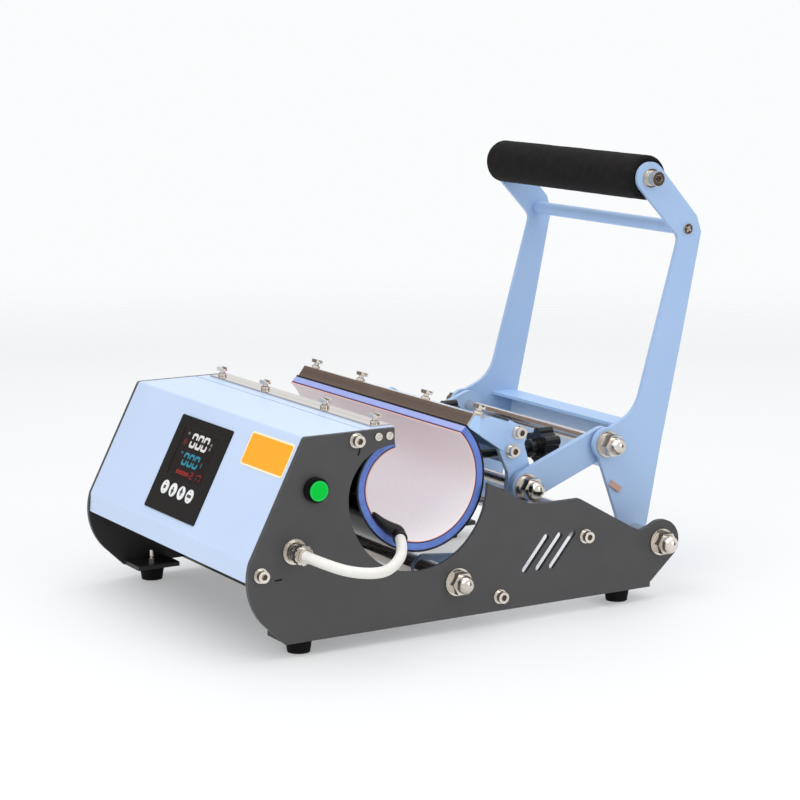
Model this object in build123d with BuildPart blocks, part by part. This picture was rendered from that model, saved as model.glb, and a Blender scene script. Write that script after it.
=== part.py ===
from build123d import *
import math
import os

os.makedirs("parts", exist_ok=True)

# Frame: X across the machine, Y from front to rear, Z up from the table.
# Side-view points are (y, z) with y measured from the front feet.
FRONT_Y = -55.4
REAR_Y = 424.1
MID_Y = (FRONT_Y + REAR_Y) / 2


def at(x, y, z):
    return (x, y - MID_Y, z)


def side(x):
    return Plane(origin=at(x, 0, 0), x_dir=(0, 1, 0), z_dir=(1, 0, 0))


def on_circle(centre, radius, angle):
    turn = math.radians(angle)
    return (centre[0] + radius * math.cos(turn), centre[1] + radius * math.sin(turn))


def shifted(point, direction, distance):
    return (point[0] + direction[0] * distance, point[1] + direction[1] * distance)


def crossing(p, d, q, e):
    det = d[0] * e[1] - d[1] * e[0]
    along = ((q[0] - p[0]) * e[1] - (q[1] - p[1]) * e[0]) / det
    return shifted(p, d, along)


def ring(x, centre, outer, inner):
    with BuildSketch(side(x)) as face:
        with Locations(centre):
            Circle(outer)
            Circle(inner, mode=Mode.SUBTRACT)
    return face.sketch


def disc(x, centre, radius):
    with BuildSketch(side(x)) as face:
        with Locations(centre):
            Circle(radius)
    return face.sketch


def hexagon(x, centre, across_flats):
    with BuildSketch(side(x)) as face:
        with Locations(centre):
            RegularPolygon(radius=across_flats / 2, side_count=6, major_radius=False)
    return face.sketch


def driver_slot(x, centre, length, crossed):
    with BuildSketch(side(x)) as face:
        with Locations(Location(centre, 62)):
            Rectangle(length, 1.2)
            if crossed:
                Rectangle(1.2, length)
    return face.sketch


def strip_face(x, points, thickness, bend=None, hand=Side.LEFT):
    with BuildLine(Plane.XY) as path:
        if bend:
            FilletPolyline(*points, radius=bend)
        else:
            Polyline(*points)
        offset(amount=thickness, side=hand)
    with BuildSketch(side(x)) as face:
        make_face(path.edges())
    return face.sketch


def arc_band_face(x, arcs, inner, outer):
    first_centre, first_radius, first_angle, _ = arcs[0]
    last_centre, last_radius, _, last_angle = arcs[-1]
    with BuildLine(Plane.XY) as path:
        for centre, radius, start, end in arcs:
            CenterArc(centre, radius + inner, start, end - start)
            CenterArc(centre, radius + outer, start, end - start)
        Line(
            on_circle(first_centre, first_radius + inner, first_angle),
            on_circle(first_centre, first_radius + outer, first_angle),
        )
        Line(
            on_circle(last_centre, last_radius + inner, last_angle),
            on_circle(last_centre, last_radius + outer, last_angle),
        )
    with BuildSketch(side(x)) as face:
        make_face(path.edges())
    return face.sketch


# Fits
RUNNING_GAP = 0.05
SOFT_GAP = 0.3
SLIDE_GAP = 0.1

# Overall widths
PLATE_OUT = 160.0
PLATE_T = 4.0
PLATE_IN = PLATE_OUT - PLATE_T
ARM_OUT = 121.0
ARM_T = 4.0
ARM_IN = ARM_OUT - ARM_T
LINK_IN = 107.5
LINK_T = 6.0
LINK_OUT = LINK_IN + LINK_T
JAW_OUT = 104.6
JAW_T = 5.0
JAW_IN = JAW_OUT - JAW_T
WRAP_HALF = 150.0

# Pivots in the side view
A = (142.3, 43.8)
B = (242.7, 105.8)
C = (324.0, 137.2)
D = (355.3, 52.2)
GRIP = (367.4, 371.0)
TIE_TUBE = (408.7, 324.0)
TIE_BARS = [(45.0, 174.9), (-43.8, 73.3), (185.3, 25.2), (273.8, 67.2)]

# Shafts and nuts
SHAFT_R = 6.0
SLEEVE_TUBE_R = 9.0
PIN_R = 5.0
NUT_AF = 18.0
NUT_HEX = 9.0
NUT_DOME_R = 7.8
NUT_NECK = 2.0
NUT_BORE = 9.0
WASHER_R = 12.0
WASHER_T = 2.2
SMALL_WASHER_R = 10.0

# Cap screws in the tie bars
BAR_R = 5.0
CAP_SHANK_R = 3.0
CAP_HEAD_R = 5.0
CAP_HEAD_T = 6.0
CAP_WASHER_R = 6.3
CAP_WASHER_T = 1.2
CAP_DEPTH = 14.0
HEX_KEY_AF = 5.0
RAIL_SCREWS = [(65.8, 175.9), (76.2, 175.8)]
RAIL_SCREW_R = 1.5
RAIL_HEAD_R = 3.4
RAIL_HEAD_T = 1.6

# Feet
FOOT_H = 12.5
FOOT_X = 142.0
FOOT_YS = [0.0, 321.0]
TAB_T = 4.0
TAB_WIDTH = 30.0
TAB_LENGTH = 45.0
FOOT_SCREW_R = 2.0

# Side plate outline
TOP_Z = 182.0
FRONT_ARC_R = 53.81
FRONT_ARC_C = (FRONT_Y + FRONT_ARC_R, 68.0)
FRONT_ARC_HIGH = 162.9
FRONT_ARC_LOW = 228.3
PANEL_TOP_EDGE = (-2.6, TOP_Z)
NOTCH_R1 = 67.7
NOTCH_C1 = (105.4, 125.2)
NOTCH_TURN = 181.0
NOTCH_R2 = 43.0
NOTCH_C2 = on_circle(NOTCH_C1, NOTCH_R1 - NOTCH_R2, NOTCH_TURN)
NOTCH_TIP = 88.7
PLATE_TIP_Y = 81.5
D_LOBE_R = 19.9

# Wrap: three tangent arcs seen from the right side
WRAP_T = 8.2
WRAP_R1 = 51.36
WRAP_C1 = (114.67, 132.1)
WRAP_TURN_1 = 260.0
WRAP_R2 = 56.21
WRAP_C2 = on_circle(WRAP_C1, WRAP_R1 - WRAP_R2, WRAP_TURN_1)
WRAP_TURN_2 = 200.0
WRAP_R3 = 33.18
WRAP_C3 = on_circle(WRAP_C2, WRAP_R2 - WRAP_R3, WRAP_TURN_2)
WRAP_FRONT_END = 98.5
WRAP_FIXED_END = 262.0
WRAP_REAR_START = 300.0
WRAP_REAR_END = 405.0
SADDLE_T = 1.2
SADDLE_OUT_R = WRAP_R1 + WRAP_T + SOFT_GAP + SADDLE_T

# Panel and rail
SHEET_T = 1.5
SEAM_Y = 54.6
SEAM_GAP = 1.2
LIP_END = (-54.3, 67.0)
PANEL_FOOT = on_circle(FRONT_ARC_C, FRONT_ARC_R, FRONT_ARC_HIGH)
RAIL_REAR = 83.8
RAIL_LOW_Z = 171.0
STRIP_T = 1.2
STRIP_HALF = 149.0

# Display on the slope
SLOPE_LENGTH = math.dist(PANEL_FOOT, PANEL_TOP_EDGE)
SLOPE_U = (
    (PANEL_TOP_EDGE[0] - PANEL_FOOT[0]) / SLOPE_LENGTH,
    (PANEL_TOP_EDGE[1] - PANEL_FOOT[1]) / SLOPE_LENGTH,
)
DISPLAY_W = 97.6
DISPLAY_LOW = 9.4
DISPLAY_HIGH = 96.2
DISPLAY_MID = (DISPLAY_LOW + DISPLAY_HIGH) / 2
OVERLAY_T = 0.8
BEZEL_RIM = 5.0
BEZEL_DEPTH = 8.0
SCREEN_W = 68.0
SCREEN_LOW = 43.0
SCREEN_HIGH = 86.4
SCREEN_T = 3.0
BUTTON_XS = [-25.2, -9.3, 6.6, 22.5]
BUTTON_S = 31.2
BUTTON_R = 6.2
BUTTON_PROUD = 0.6
BUTTON_TRAVEL = 0.5

# Thumbscrews
THUMB_R = 2.0
THUMB_COLLAR_R = 4.0
THUMB_HEAD_R = 5.75
FRONT_THUMB_XS = [-140.0, -54.6, 54.6, 140.0]
FRONT_THUMB_Y = 74.5
REAR_THUMB_XS = [-142.0, -57.0, 57.0, 142.0]

# Power button
POWER_AT = (6.3, 138.4)
POWER_CAP_R = 9.0
POWER_TRAVEL = 1.5

# Gland and cable
GLAND_AT = (-13.3, 89.5)
GLAND_BORE_R = 5.6
CABLE_R = 4.5
CABLE_START_X = 181.0
GLAND_CAP_X = 10.0
CABLE_END = (160.0, 86.2, 89.2)
SLEEVE_R = 6.4

# Jaw bracket lines in the side view
FACE_U = (0.6, 0.8)
TOP_U = (math.cos(math.radians(-16.9)), math.sin(math.radians(-16.9)))
TOP_N = (-TOP_U[1], TOP_U[0])
FACE_LOW = (159.0, 173.0)
FACE_HIGH = (166.2, 182.6)
NECK_HIGH = (233.6, 163.9)
NECK_LOW = (219.9, 139.7)
NECK_LENGTH = math.dist(NECK_HIGH, NECK_LOW)
NECK_U = (
    (NECK_HIGH[0] - NECK_LOW[0]) / NECK_LENGTH,
    (NECK_HIGH[1] - NECK_LOW[1]) / NECK_LENGTH,
)
WING_LOW = (174.2, 163.1)
WING_Y = 171.0
WING_INNER_Y = 229.5
BRACKET_T = 3.0
JAW_SCREWS = [(240.3, 153.3), (233.4, 137.4)]
JAW_SCREW_R = 2.5

# Pressure knobs
KNOB_X = 80.0
KNOB_Z = 132.0
KNOB_FACE_Y = 276.0
KNOB_T = 15.0
STUD_R = 4.0
BACK_WEB_Y = 243.0
BACK_T = 3.0


def plate_face(x, mirror_side):
    with BuildLine(Plane.XY) as path:
        FilletPolyline(PANEL_FOOT, PANEL_TOP_EDGE, (PLATE_TIP_Y, TOP_Z), radius=4)
        Line((PLATE_TIP_Y, TOP_Z), on_circle(NOTCH_C2, NOTCH_R2, NOTCH_TIP))
        CenterArc(NOTCH_C2, NOTCH_R2, NOTCH_TIP, NOTCH_TURN - NOTCH_TIP)
        CenterArc(NOTCH_C1, NOTCH_R1, NOTCH_TURN, 360 - NOTCH_TURN)
        FilletPolyline(
            on_circle(NOTCH_C1, NOTCH_R1, 0),
            (182.0, 120.9),
            (215.0, 102.6),
            (240.0, 101.3),
            (267.3, 101.3),
            (322.9, 69.8),
            (333.5, 64.8),
            on_circle(D, D_LOBE_R, 125),
            radius=6,
        )
        CenterArc(D, D_LOBE_R, 125, -162)
        Polyline(
            on_circle(D, D_LOBE_R, -37),
            (344.4, 16.7),
            (344.4, FOOT_H),
            (-21.4, FOOT_H),
            on_circle(FRONT_ARC_C, FRONT_ARC_R, FRONT_ARC_LOW),
        )
        CenterArc(FRONT_ARC_C, FRONT_ARC_R, FRONT_ARC_HIGH, FRONT_ARC_LOW - FRONT_ARC_HIGH)
    with BuildSketch(side(x)) as face:
        make_face(path.edges())
        with Locations(A, D):
            Circle(SHAFT_R, mode=Mode.SUBTRACT)
        with Locations(*TIE_BARS):
            Circle(CAP_SHANK_R, mode=Mode.SUBTRACT)
        with Locations(*RAIL_SCREWS):
            Circle(RAIL_SCREW_R, mode=Mode.SUBTRACT)
        with Locations(Location((48.1, 165.2), 72), Location((-27.5, 67.4), 4)):
            SlotOverall(7, 1.6, mode=Mode.SUBTRACT)
        with Locations(Location((222, 58), 50), Location((236, 58), 50), Location((250, 58), 50)):
            SlotOverall(40, 6, mode=Mode.SUBTRACT)
        if mirror_side:
            with Locations(INLET_AT):
                Rectangle(INLET_L - 2, INLET_H - 2, mode=Mode.SUBTRACT)
        else:
            with Locations(POWER_AT):
                Circle(POWER_BARREL_R, mode=Mode.SUBTRACT)
            with Locations(GLAND_AT):
                Circle(GLAND_BORE_R, mode=Mode.SUBTRACT)
    return face.sketch


POWER_BARREL_R = 8.0
INLET_AT = (14.0, 104.0)
INLET_L = 30.0
INLET_H = 22.0

# Side plates with inward foot tabs
with BuildPart() as side_plate_right:
    extrude(plate_face(PLATE_IN, False), amount=PLATE_T)
    for foot_y in FOOT_YS:
        with Locations(at(PLATE_IN - TAB_WIDTH / 2 + 1, foot_y, FOOT_H + TAB_T / 2)):
            Box(TAB_WIDTH + 2, TAB_LENGTH if foot_y else TAB_LENGTH - 4, TAB_T)
        with Locations(at(FOOT_X, foot_y, FOOT_H + TAB_T / 2)):
            Cylinder(FOOT_SCREW_R, TAB_T, mode=Mode.SUBTRACT)
side_plate_right.part.label = "side_plate_right"
export_step(side_plate_right.part, "parts/side_plate_right.step")

with BuildPart() as side_plate_left:
    extrude(plate_face(-PLATE_OUT, True), amount=PLATE_T)
    for foot_y in FOOT_YS:
        with Locations(at(-PLATE_IN + TAB_WIDTH / 2 - 1, foot_y, FOOT_H + TAB_T / 2)):
            Box(TAB_WIDTH + 2, TAB_LENGTH if foot_y else TAB_LENGTH - 4, TAB_T)
        with Locations(at(-FOOT_X, foot_y, FOOT_H + TAB_T / 2)):
            Cylinder(FOOT_SCREW_R, TAB_T, mode=Mode.SUBTRACT)
side_plate_left.part.label = "side_plate_left"
export_step(side_plate_left.part, "parts/side_plate_left.step")

# Folded front panel with the display opening
slope = Plane(
    origin=at(0, PANEL_FOOT[0], PANEL_FOOT[1]),
    x_dir=(1, 0, 0),
    z_dir=(0, -SLOPE_U[1], SLOPE_U[0]),
)
with BuildPart() as front_panel:
    extrude(
        strip_face(-PLATE_IN, [LIP_END, PANEL_FOOT, PANEL_TOP_EDGE, (SEAM_Y, TOP_Z)],
                   SHEET_T, bend=3, hand=Side.RIGHT),
        amount=2 * PLATE_IN,
    )
    with BuildSketch(slope.offset(-4)):
        with Locations((0, DISPLAY_MID)):
            Rectangle(DISPLAY_W - 2 * BEZEL_RIM, DISPLAY_HIGH - DISPLAY_LOW - 2 * BEZEL_RIM)
    extrude(amount=8, mode=Mode.SUBTRACT)
front_panel.part.label = "front_panel"
export_step(front_panel.part, "parts/front_panel.step")

# Display housing that fills the opening, with its overlay on the outside
with BuildPart() as display_frame:
    with BuildSketch(slope):
        with Locations((0, DISPLAY_MID)):
            RectangleRounded(DISPLAY_W, DISPLAY_HIGH - DISPLAY_LOW, 2)
    extrude(amount=OVERLAY_T)
    with BuildSketch(slope):
        with Locations((0, DISPLAY_MID)):
            Rectangle(
                DISPLAY_W - 2 * BEZEL_RIM - 2 * SLIDE_GAP,
                DISPLAY_HIGH - DISPLAY_LOW - 2 * BEZEL_RIM - 2 * SLIDE_GAP,
            )
    extrude(amount=-BEZEL_DEPTH)
    with BuildSketch(slope.offset(OVERLAY_T)):
        with Locations((0, (SCREEN_LOW + SCREEN_HIGH) / 2)):
            Rectangle(SCREEN_W, SCREEN_HIGH - SCREEN_LOW)
    extrude(amount=-SCREEN_T - 0.3, mode=Mode.SUBTRACT)
    with BuildSketch(slope.offset(OVERLAY_T)):
        with Locations(*[(x, BUTTON_S) for x in BUTTON_XS]):
            Circle(BUTTON_R + SLIDE_GAP)
    extrude(amount=-4 - BUTTON_TRAVEL, mode=Mode.SUBTRACT)
display_frame.part.label = "display_frame"
export_step(display_frame.part, "parts/display_frame.step")

with BuildPart() as display_screen:
    with BuildSketch(slope.offset(OVERLAY_T - SCREEN_T - 0.3)):
        with Locations((0, (SCREEN_LOW + SCREEN_HIGH) / 2)):
            Rectangle(SCREEN_W, SCREEN_HIGH - SCREEN_LOW)
    extrude(amount=SCREEN_T)
display_screen.part.label = "display_screen"
export_step(display_screen.part, "parts/display_screen.step")

for index, button_x in enumerate(BUTTON_XS):
    with BuildPart() as display_button:
        with BuildSketch(slope.offset(OVERLAY_T + BUTTON_PROUD - 4)):
            with Locations((button_x, BUTTON_S)):
                Circle(BUTTON_R)
        extrude(amount=4)
        top = display_button.faces().sort_by(Axis(slope.origin, slope.z_dir))[-1]
        fillet(top.edges(), radius=0.3)
    display_button.part.label = f"display_button_{index + 1}"
    export_step(display_button.part, f"parts/display_button_{index + 1}.step")

# Rail behind the seam, with end flanges for the small screws
with BuildPart() as clamp_rail:
    extrude(
        strip_face(-PLATE_IN, [(SEAM_Y + SEAM_GAP, TOP_Z), (RAIL_REAR, TOP_Z), (RAIL_REAR, RAIL_LOW_Z)],
                   SHEET_T, hand=Side.RIGHT),
        amount=2 * PLATE_IN,
    )
    for end in (1, -1):
        with Locations(at(end * (PLATE_IN - 1.5), 70.5, 176.0)):
            Box(3, 22, 10)
        extrude(disc(end * (PLATE_IN - 3), RAIL_SCREWS[0], RAIL_SCREW_R), amount=end * 3, mode=Mode.SUBTRACT)
        extrude(disc(end * (PLATE_IN - 3), RAIL_SCREWS[1], RAIL_SCREW_R), amount=end * 3, mode=Mode.SUBTRACT)
    with Locations(*[at(x, FRONT_THUMB_Y, TOP_Z - SHEET_T / 2) for x in FRONT_THUMB_XS]):
        Cylinder(THUMB_R + RUNNING_GAP, SHEET_T, mode=Mode.SUBTRACT)
clamp_rail.part.label = "clamp_rail"
export_step(clamp_rail.part, "parts/clamp_rail.step")

with BuildPart() as front_clamp_strip:
    with Locations(at(0, (66 + RAIL_REAR) / 2, TOP_Z + STRIP_T / 2)):
        Box(2 * STRIP_HALF, RAIL_REAR - 66, STRIP_T)
    with Locations(*[at(x, FRONT_THUMB_Y, TOP_Z + STRIP_T / 2) for x in FRONT_THUMB_XS]):
        Cylinder(THUMB_R + RUNNING_GAP, STRIP_T, mode=Mode.SUBTRACT)
front_clamp_strip.part.label = "front_clamp_strip"
export_step(front_clamp_strip.part, "parts/front_clamp_strip.step")

# Wrap pieces
with BuildPart() as wrap_front:
    extrude(
        arc_band_face(
            -WRAP_HALF,
            [
                (WRAP_C3, WRAP_R3, WRAP_FRONT_END, WRAP_TURN_2),
                (WRAP_C2, WRAP_R2, WRAP_TURN_2, WRAP_TURN_1),
                (WRAP_C1, WRAP_R1, WRAP_TURN_1, WRAP_FIXED_END),
            ],
            0,
            WRAP_T,
        ),
        amount=2 * WRAP_HALF,
    )
wrap_front.part.label = "wrap_front"
export_step(wrap_front.part, "parts/wrap_front.step")

with BuildPart() as wrap_flex:
    extrude(
        arc_band_face(
            -WRAP_HALF,
            [(WRAP_C1, WRAP_R1, WRAP_FIXED_END + 0.1, WRAP_REAR_START - 0.3)],
            0,
            WRAP_T,
        ),
        amount=2 * WRAP_HALF,
    )
wrap_flex.part.label = "wrap_flex"
export_step(wrap_flex.part, "parts/wrap_flex.step")

with BuildPart() as wrap_rear:
    extrude(
        arc_band_face(-WRAP_HALF, [(WRAP_C1, WRAP_R1, WRAP_REAR_START, WRAP_REAR_END)], 0, WRAP_T),
        amount=2 * WRAP_HALF,
    )
wrap_rear.part.label = "wrap_rear"
export_step(wrap_rear.part, "parts/wrap_rear.step")

# Curved sheets behind the wrap
SADDLE_FLANGE_Y = RAIL_REAR + SADDLE_T
flange_inner_angle = math.degrees(
    math.acos((SADDLE_FLANGE_Y - WRAP_C3[0]) / (WRAP_R3 + WRAP_T + SOFT_GAP))
)
flange_outer_angle = math.degrees(
    math.acos((RAIL_REAR - WRAP_C3[0]) / (WRAP_R3 + WRAP_T + SOFT_GAP + SADDLE_T))
)
with BuildPart() as front_saddle:
    with BuildLine(Plane.XY) as saddle_path:
        for offset_r, flange_y, flange_angle in (
            (WRAP_T + SOFT_GAP, SADDLE_FLANGE_Y, flange_inner_angle),
            (WRAP_T + SOFT_GAP + SADDLE_T, RAIL_REAR, flange_outer_angle),
        ):
            Line((flange_y, TOP_Z - SHEET_T), on_circle(WRAP_C3, WRAP_R3 + offset_r, flange_angle))
            CenterArc(WRAP_C3, WRAP_R3 + offset_r, flange_angle, WRAP_TURN_2 - flange_angle)
            CenterArc(WRAP_C2, WRAP_R2 + offset_r, WRAP_TURN_2, WRAP_TURN_1 - WRAP_TURN_2)
            CenterArc(WRAP_C1, WRAP_R1 + offset_r, WRAP_TURN_1, WRAP_FIXED_END - WRAP_TURN_1)
        Line((SADDLE_FLANGE_Y, TOP_Z - SHEET_T), (RAIL_REAR, TOP_Z - SHEET_T))
        Line(
            on_circle(WRAP_C1, SADDLE_OUT_R - SADDLE_T, WRAP_FIXED_END),
            on_circle(WRAP_C1, SADDLE_OUT_R, WRAP_FIXED_END),
        )
    with BuildSketch(side(-WRAP_HALF)) as saddle_face:
        make_face(saddle_path.edges())
    extrude(amount=2 * WRAP_HALF)
front_saddle.part.label = "front_saddle"
export_step(front_saddle.part, "parts/front_saddle.step")

with BuildPart() as rear_saddle:
    extrude(
        arc_band_face(
            -WRAP_HALF,
            [(WRAP_C1, WRAP_R1, WRAP_REAR_START, WRAP_REAR_END)],
            WRAP_T + SOFT_GAP,
            WRAP_T + SOFT_GAP + SADDLE_T,
        ),
        amount=2 * WRAP_HALF,
    )
rear_saddle.part.label = "rear_saddle"
export_step(rear_saddle.part, "parts/rear_saddle.step")

# Black sheet that closes the control box: its floor, then down to the feet's level
with BuildPart() as housing_shell:
    extrude(
        strip_face(-PLATE_IN, [(LIP_END[0] + SHEET_T + 0.2, 68.2), (38.0, 68.2), (38.0, 13.0)],
                   1.2, bend=3, hand=Side.RIGHT),
        amount=2 * PLATE_IN,
    )
housing_shell.part.label = "housing_shell"
export_step(housing_shell.part, "parts/housing_shell.step")

# Bars between the plates
with BuildPart() as tie_bars:
    for centre in TIE_BARS:
        extrude(disc(-PLATE_IN, centre, BAR_R), amount=2 * PLATE_IN)
        for end in (1, -1):
            extrude(disc(end * PLATE_IN, centre, CAP_SHANK_R), amount=-end * CAP_DEPTH, mode=Mode.SUBTRACT)
tie_bars.part.label = "tie_bars"
export_step(tie_bars.part, "parts/tie_bars.step")

with BuildPart() as plate_screws:
    for end in (1, -1):
        seat = end * (PLATE_OUT + CAP_WASHER_T)
        for centre in TIE_BARS:
            extrude(ring(end * PLATE_OUT, centre, CAP_WASHER_R, CAP_SHANK_R), amount=end * CAP_WASHER_T)
        for centre in TIE_BARS:
            extrude(disc(seat, centre, CAP_HEAD_R), amount=end * CAP_HEAD_T)
            extrude(disc(seat, centre, CAP_SHANK_R), amount=end * (PLATE_IN - CAP_DEPTH + 1) - seat)
            extrude(
                hexagon(seat + end * CAP_HEAD_T, centre, HEX_KEY_AF),
                amount=-end * 3,
                mode=Mode.SUBTRACT,
            )
        for centre in RAIL_SCREWS:
            extrude(disc(end * PLATE_OUT, centre, RAIL_HEAD_R), amount=end * RAIL_HEAD_T)
            extrude(disc(end * PLATE_OUT, centre, RAIL_SCREW_R), amount=-end * 7)
        for centre in RAIL_SCREWS:
            extrude(
                driver_slot(end * (PLATE_OUT + RAIL_HEAD_T), centre, 5.0, centre == RAIL_SCREWS[0]),
                amount=-end * 0.8,
                mode=Mode.SUBTRACT,
            )
plate_screws.part.label = "plate_screws"
export_step(plate_screws.part, "parts/plate_screws.step")

# Rubber feet and their screws
with BuildPart() as feet:
    for foot_x in (FOOT_X, -FOOT_X):
        for foot_y in FOOT_YS:
            with Locations(at(foot_x, foot_y, FOOT_H / 2)):
                Cone(bottom_radius=9.5, top_radius=11.5, height=FOOT_H)
            with Locations(at(foot_x, foot_y, FOOT_H - 4)):
                Cylinder(FOOT_SCREW_R, 8, mode=Mode.SUBTRACT)
feet.part.label = "feet"
export_step(feet.part, "parts/feet.step")

with BuildPart() as foot_screws:
    for foot_x in (FOOT_X, -FOOT_X):
        for foot_y in FOOT_YS:
            with Locations(at(foot_x, foot_y, (FOOT_H - 7 + 27) / 2)):
                Cylinder(FOOT_SCREW_R, 27 - (FOOT_H - 7))
            with BuildSketch(Plane(origin=at(foot_x, foot_y, FOOT_H + TAB_T))):
                RegularPolygon(radius=3.5, side_count=6, major_radius=False)
            extrude(amount=3)
foot_screws.part.label = "foot_screws"
export_step(foot_screws.part, "parts/foot_screws.step")

# Pivot shafts
SHAFT_END = PLATE_OUT + WASHER_T + NUT_BORE
with BuildPart() as jaw_shaft:
    extrude(disc(-SHAFT_END, A, SHAFT_R), amount=2 * SHAFT_END)
    extrude(disc(-JAW_IN + SOFT_GAP, A, SLEEVE_TUBE_R), amount=2 * (JAW_IN - SOFT_GAP))
    for end in (1, -1):
        extrude(disc(end * PLATE_IN, A, SLEEVE_TUBE_R), amount=-end * (PLATE_IN - JAW_OUT - SOFT_GAP))
jaw_shaft.part.label = "jaw_shaft"
export_step(jaw_shaft.part, "parts/jaw_shaft.step")

with BuildPart() as handle_shaft:
    extrude(disc(-SHAFT_END, D, SHAFT_R), amount=2 * SHAFT_END)
handle_shaft.part.label = "handle_shaft"
export_step(handle_shaft.part, "parts/handle_shaft.step")

with BuildPart() as base_dome_nuts:
    for end in (1, -1):
        for centre in (A, D):
            seat = end * (PLATE_OUT + WASHER_T)
            extrude(ring(end * PLATE_OUT, centre, WASHER_R, SHAFT_R), amount=end * WASHER_T)
            extrude(hexagon(seat, centre, NUT_AF), amount=end * NUT_HEX)
            extrude(disc(seat, centre, NUT_DOME_R), amount=end * (NUT_HEX + NUT_NECK))
            with Locations(at(seat + end * (NUT_HEX + NUT_NECK), centre[0], centre[1])):
                Sphere(NUT_DOME_R)
            extrude(disc(seat, centre, SHAFT_R), amount=end * (NUT_BORE + 0.5), mode=Mode.SUBTRACT)
base_dome_nuts.part.label = "base_dome_nuts"
export_step(base_dome_nuts.part, "parts/base_dome_nuts.step")

with BuildPart() as handle_spacers:
    for end in (1, -1):
        extrude(ring(end * PLATE_IN, D, SHAFT_R + 3, SHAFT_R), amount=-end * (PLATE_IN - ARM_OUT - 0.3))
handle_spacers.part.label = "handle_spacers"
export_step(handle_spacers.part, "parts/handle_spacers.step")

# Power button: bezel and barrel, then the cap
POWER_BEZEL_T = 5.0
with BuildPart() as power_button_body:
    extrude(disc(PLATE_OUT, POWER_AT, POWER_CAP_R + SLIDE_GAP + 1.3), amount=POWER_BEZEL_T)
    extrude(disc(PLATE_OUT, POWER_AT, POWER_BARREL_R), amount=-24)
    extrude(disc(PLATE_OUT + 1, POWER_AT, POWER_CAP_R + SLIDE_GAP), amount=POWER_BEZEL_T, mode=Mode.SUBTRACT)
    extrude(disc(PLATE_OUT - 14, POWER_AT, 3 + RUNNING_GAP), amount=20, mode=Mode.SUBTRACT)
power_button_body.part.label = "power_button_body"
export_step(power_button_body.part, "parts/power_button_body.step")

with BuildPart() as power_button_cap:
    extrude(disc(PLATE_OUT + 1.2 + POWER_TRAVEL, POWER_AT, POWER_CAP_R), amount=5.2)
    outer_face = power_button_cap.faces().sort_by(Axis.X)[-1]
    fillet(outer_face.edges(), radius=0.8)
    extrude(disc(PLATE_OUT + 1.2 + POWER_TRAVEL, POWER_AT, 3), amount=-12)
power_button_cap.part.label = "power_button_cap"
export_step(power_button_cap.part, "parts/power_button_cap.step")

# Mains inlet in the left plate
with BuildPart() as power_inlet:
    with BuildSketch(side(-PLATE_OUT - 2)):
        with Locations(INLET_AT):
            RectangleRounded(INLET_L + 16, INLET_H + 4, 4)
    extrude(amount=2)
    with BuildSketch(side(-PLATE_OUT)):
        with Locations(INLET_AT):
            Rectangle(INLET_L - 2, INLET_H - 2)
    extrude(amount=20)
    with BuildSketch(side(-PLATE_OUT - 2)):
        with Locations(INLET_AT):
            Rectangle(INLET_L - 6, INLET_H - 6)
    extrude(amount=18, mode=Mode.SUBTRACT)
    for pin_y, pin_z in ((-7.0, -2.0), (0.0, 2.0), (7.0, -2.0)):
        with Locations(at(-PLATE_OUT + 11, INLET_AT[0] + pin_y, INLET_AT[1] + pin_z)):
            Box(14, 2, 4)
power_inlet.part.label = "power_inlet"
export_step(power_inlet.part, "parts/power_inlet.step")

# Gland, cable and sleeve on the right
with BuildPart() as cable_gland:
    extrude(disc(PLATE_OUT - 10, GLAND_AT, GLAND_BORE_R), amount=10)
    extrude(disc(PLATE_OUT, GLAND_AT, 10.6), amount=2)
    extrude(disc(PLATE_OUT + 2, GLAND_AT, 9.0), amount=2.5)
    extrude(disc(PLATE_OUT + 4.5, GLAND_AT, 6.8), amount=5.5)
    with BuildSketch(side(PLATE_OUT + GLAND_CAP_X)) as cap_face:
        with Locations(GLAND_AT):
            Circle(8.4)
            with PolarLocations(8.6, 10):
                Circle(1.1, mode=Mode.SUBTRACT)
    extrude(amount=7.5)
    extrude(disc(PLATE_OUT + 17.5, GLAND_AT, 6.4), amount=CABLE_START_X - PLATE_OUT - 17.5)
cable_gland.part.label = "cable_gland"
export_step(cable_gland.part, "parts/cable_gland.step")

CABLE_ROUTE = [
    at(CABLE_START_X, GLAND_AT[0], GLAND_AT[1]),
    at(206.5, GLAND_AT[0], GLAND_AT[1]),
    at(224.5, 3.0, 83.5),
    at(226.0, 30.0, 79.5),
    at(211.0, 52.0, 80.5),
    at(187.0, 74.0, 85.0),
    at(*CABLE_END),
]


def bend_radii(points):
    radii = []
    for before, corner, after in zip(points, points[1:], points[2:]):
        run_in = Vector(*corner) - Vector(*before)
        run_out = Vector(*after) - Vector(*corner)
        half_turn = math.radians(run_in.get_angle(run_out)) / 2
        radii.append(0.45 * min(run_in.length, run_out.length) / math.tan(half_turn))
    return radii


print("cable radii", [round(r, 1) for r in bend_radii(CABLE_ROUTE)])
with BuildPart() as heater_cable:
    with BuildLine() as cable_path:
        FilletPolyline(*CABLE_ROUTE, radius=bend_radii(CABLE_ROUTE))
    with BuildSketch(Plane(origin=cable_path.line @ 0, z_dir=cable_path.line % 0)):
        Circle(CABLE_R)
    sweep()
cable_length = sum(edge.length for edge in cable_path.edges())
print("cable length", cable_length, "volume", heater_cable.part.volume)
print("section x length", math.pi * CABLE_R**2 * cable_length)
heater_cable.part.label = "heater_cable"
export_step(heater_cable.part, "parts/heater_cable.step")

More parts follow.
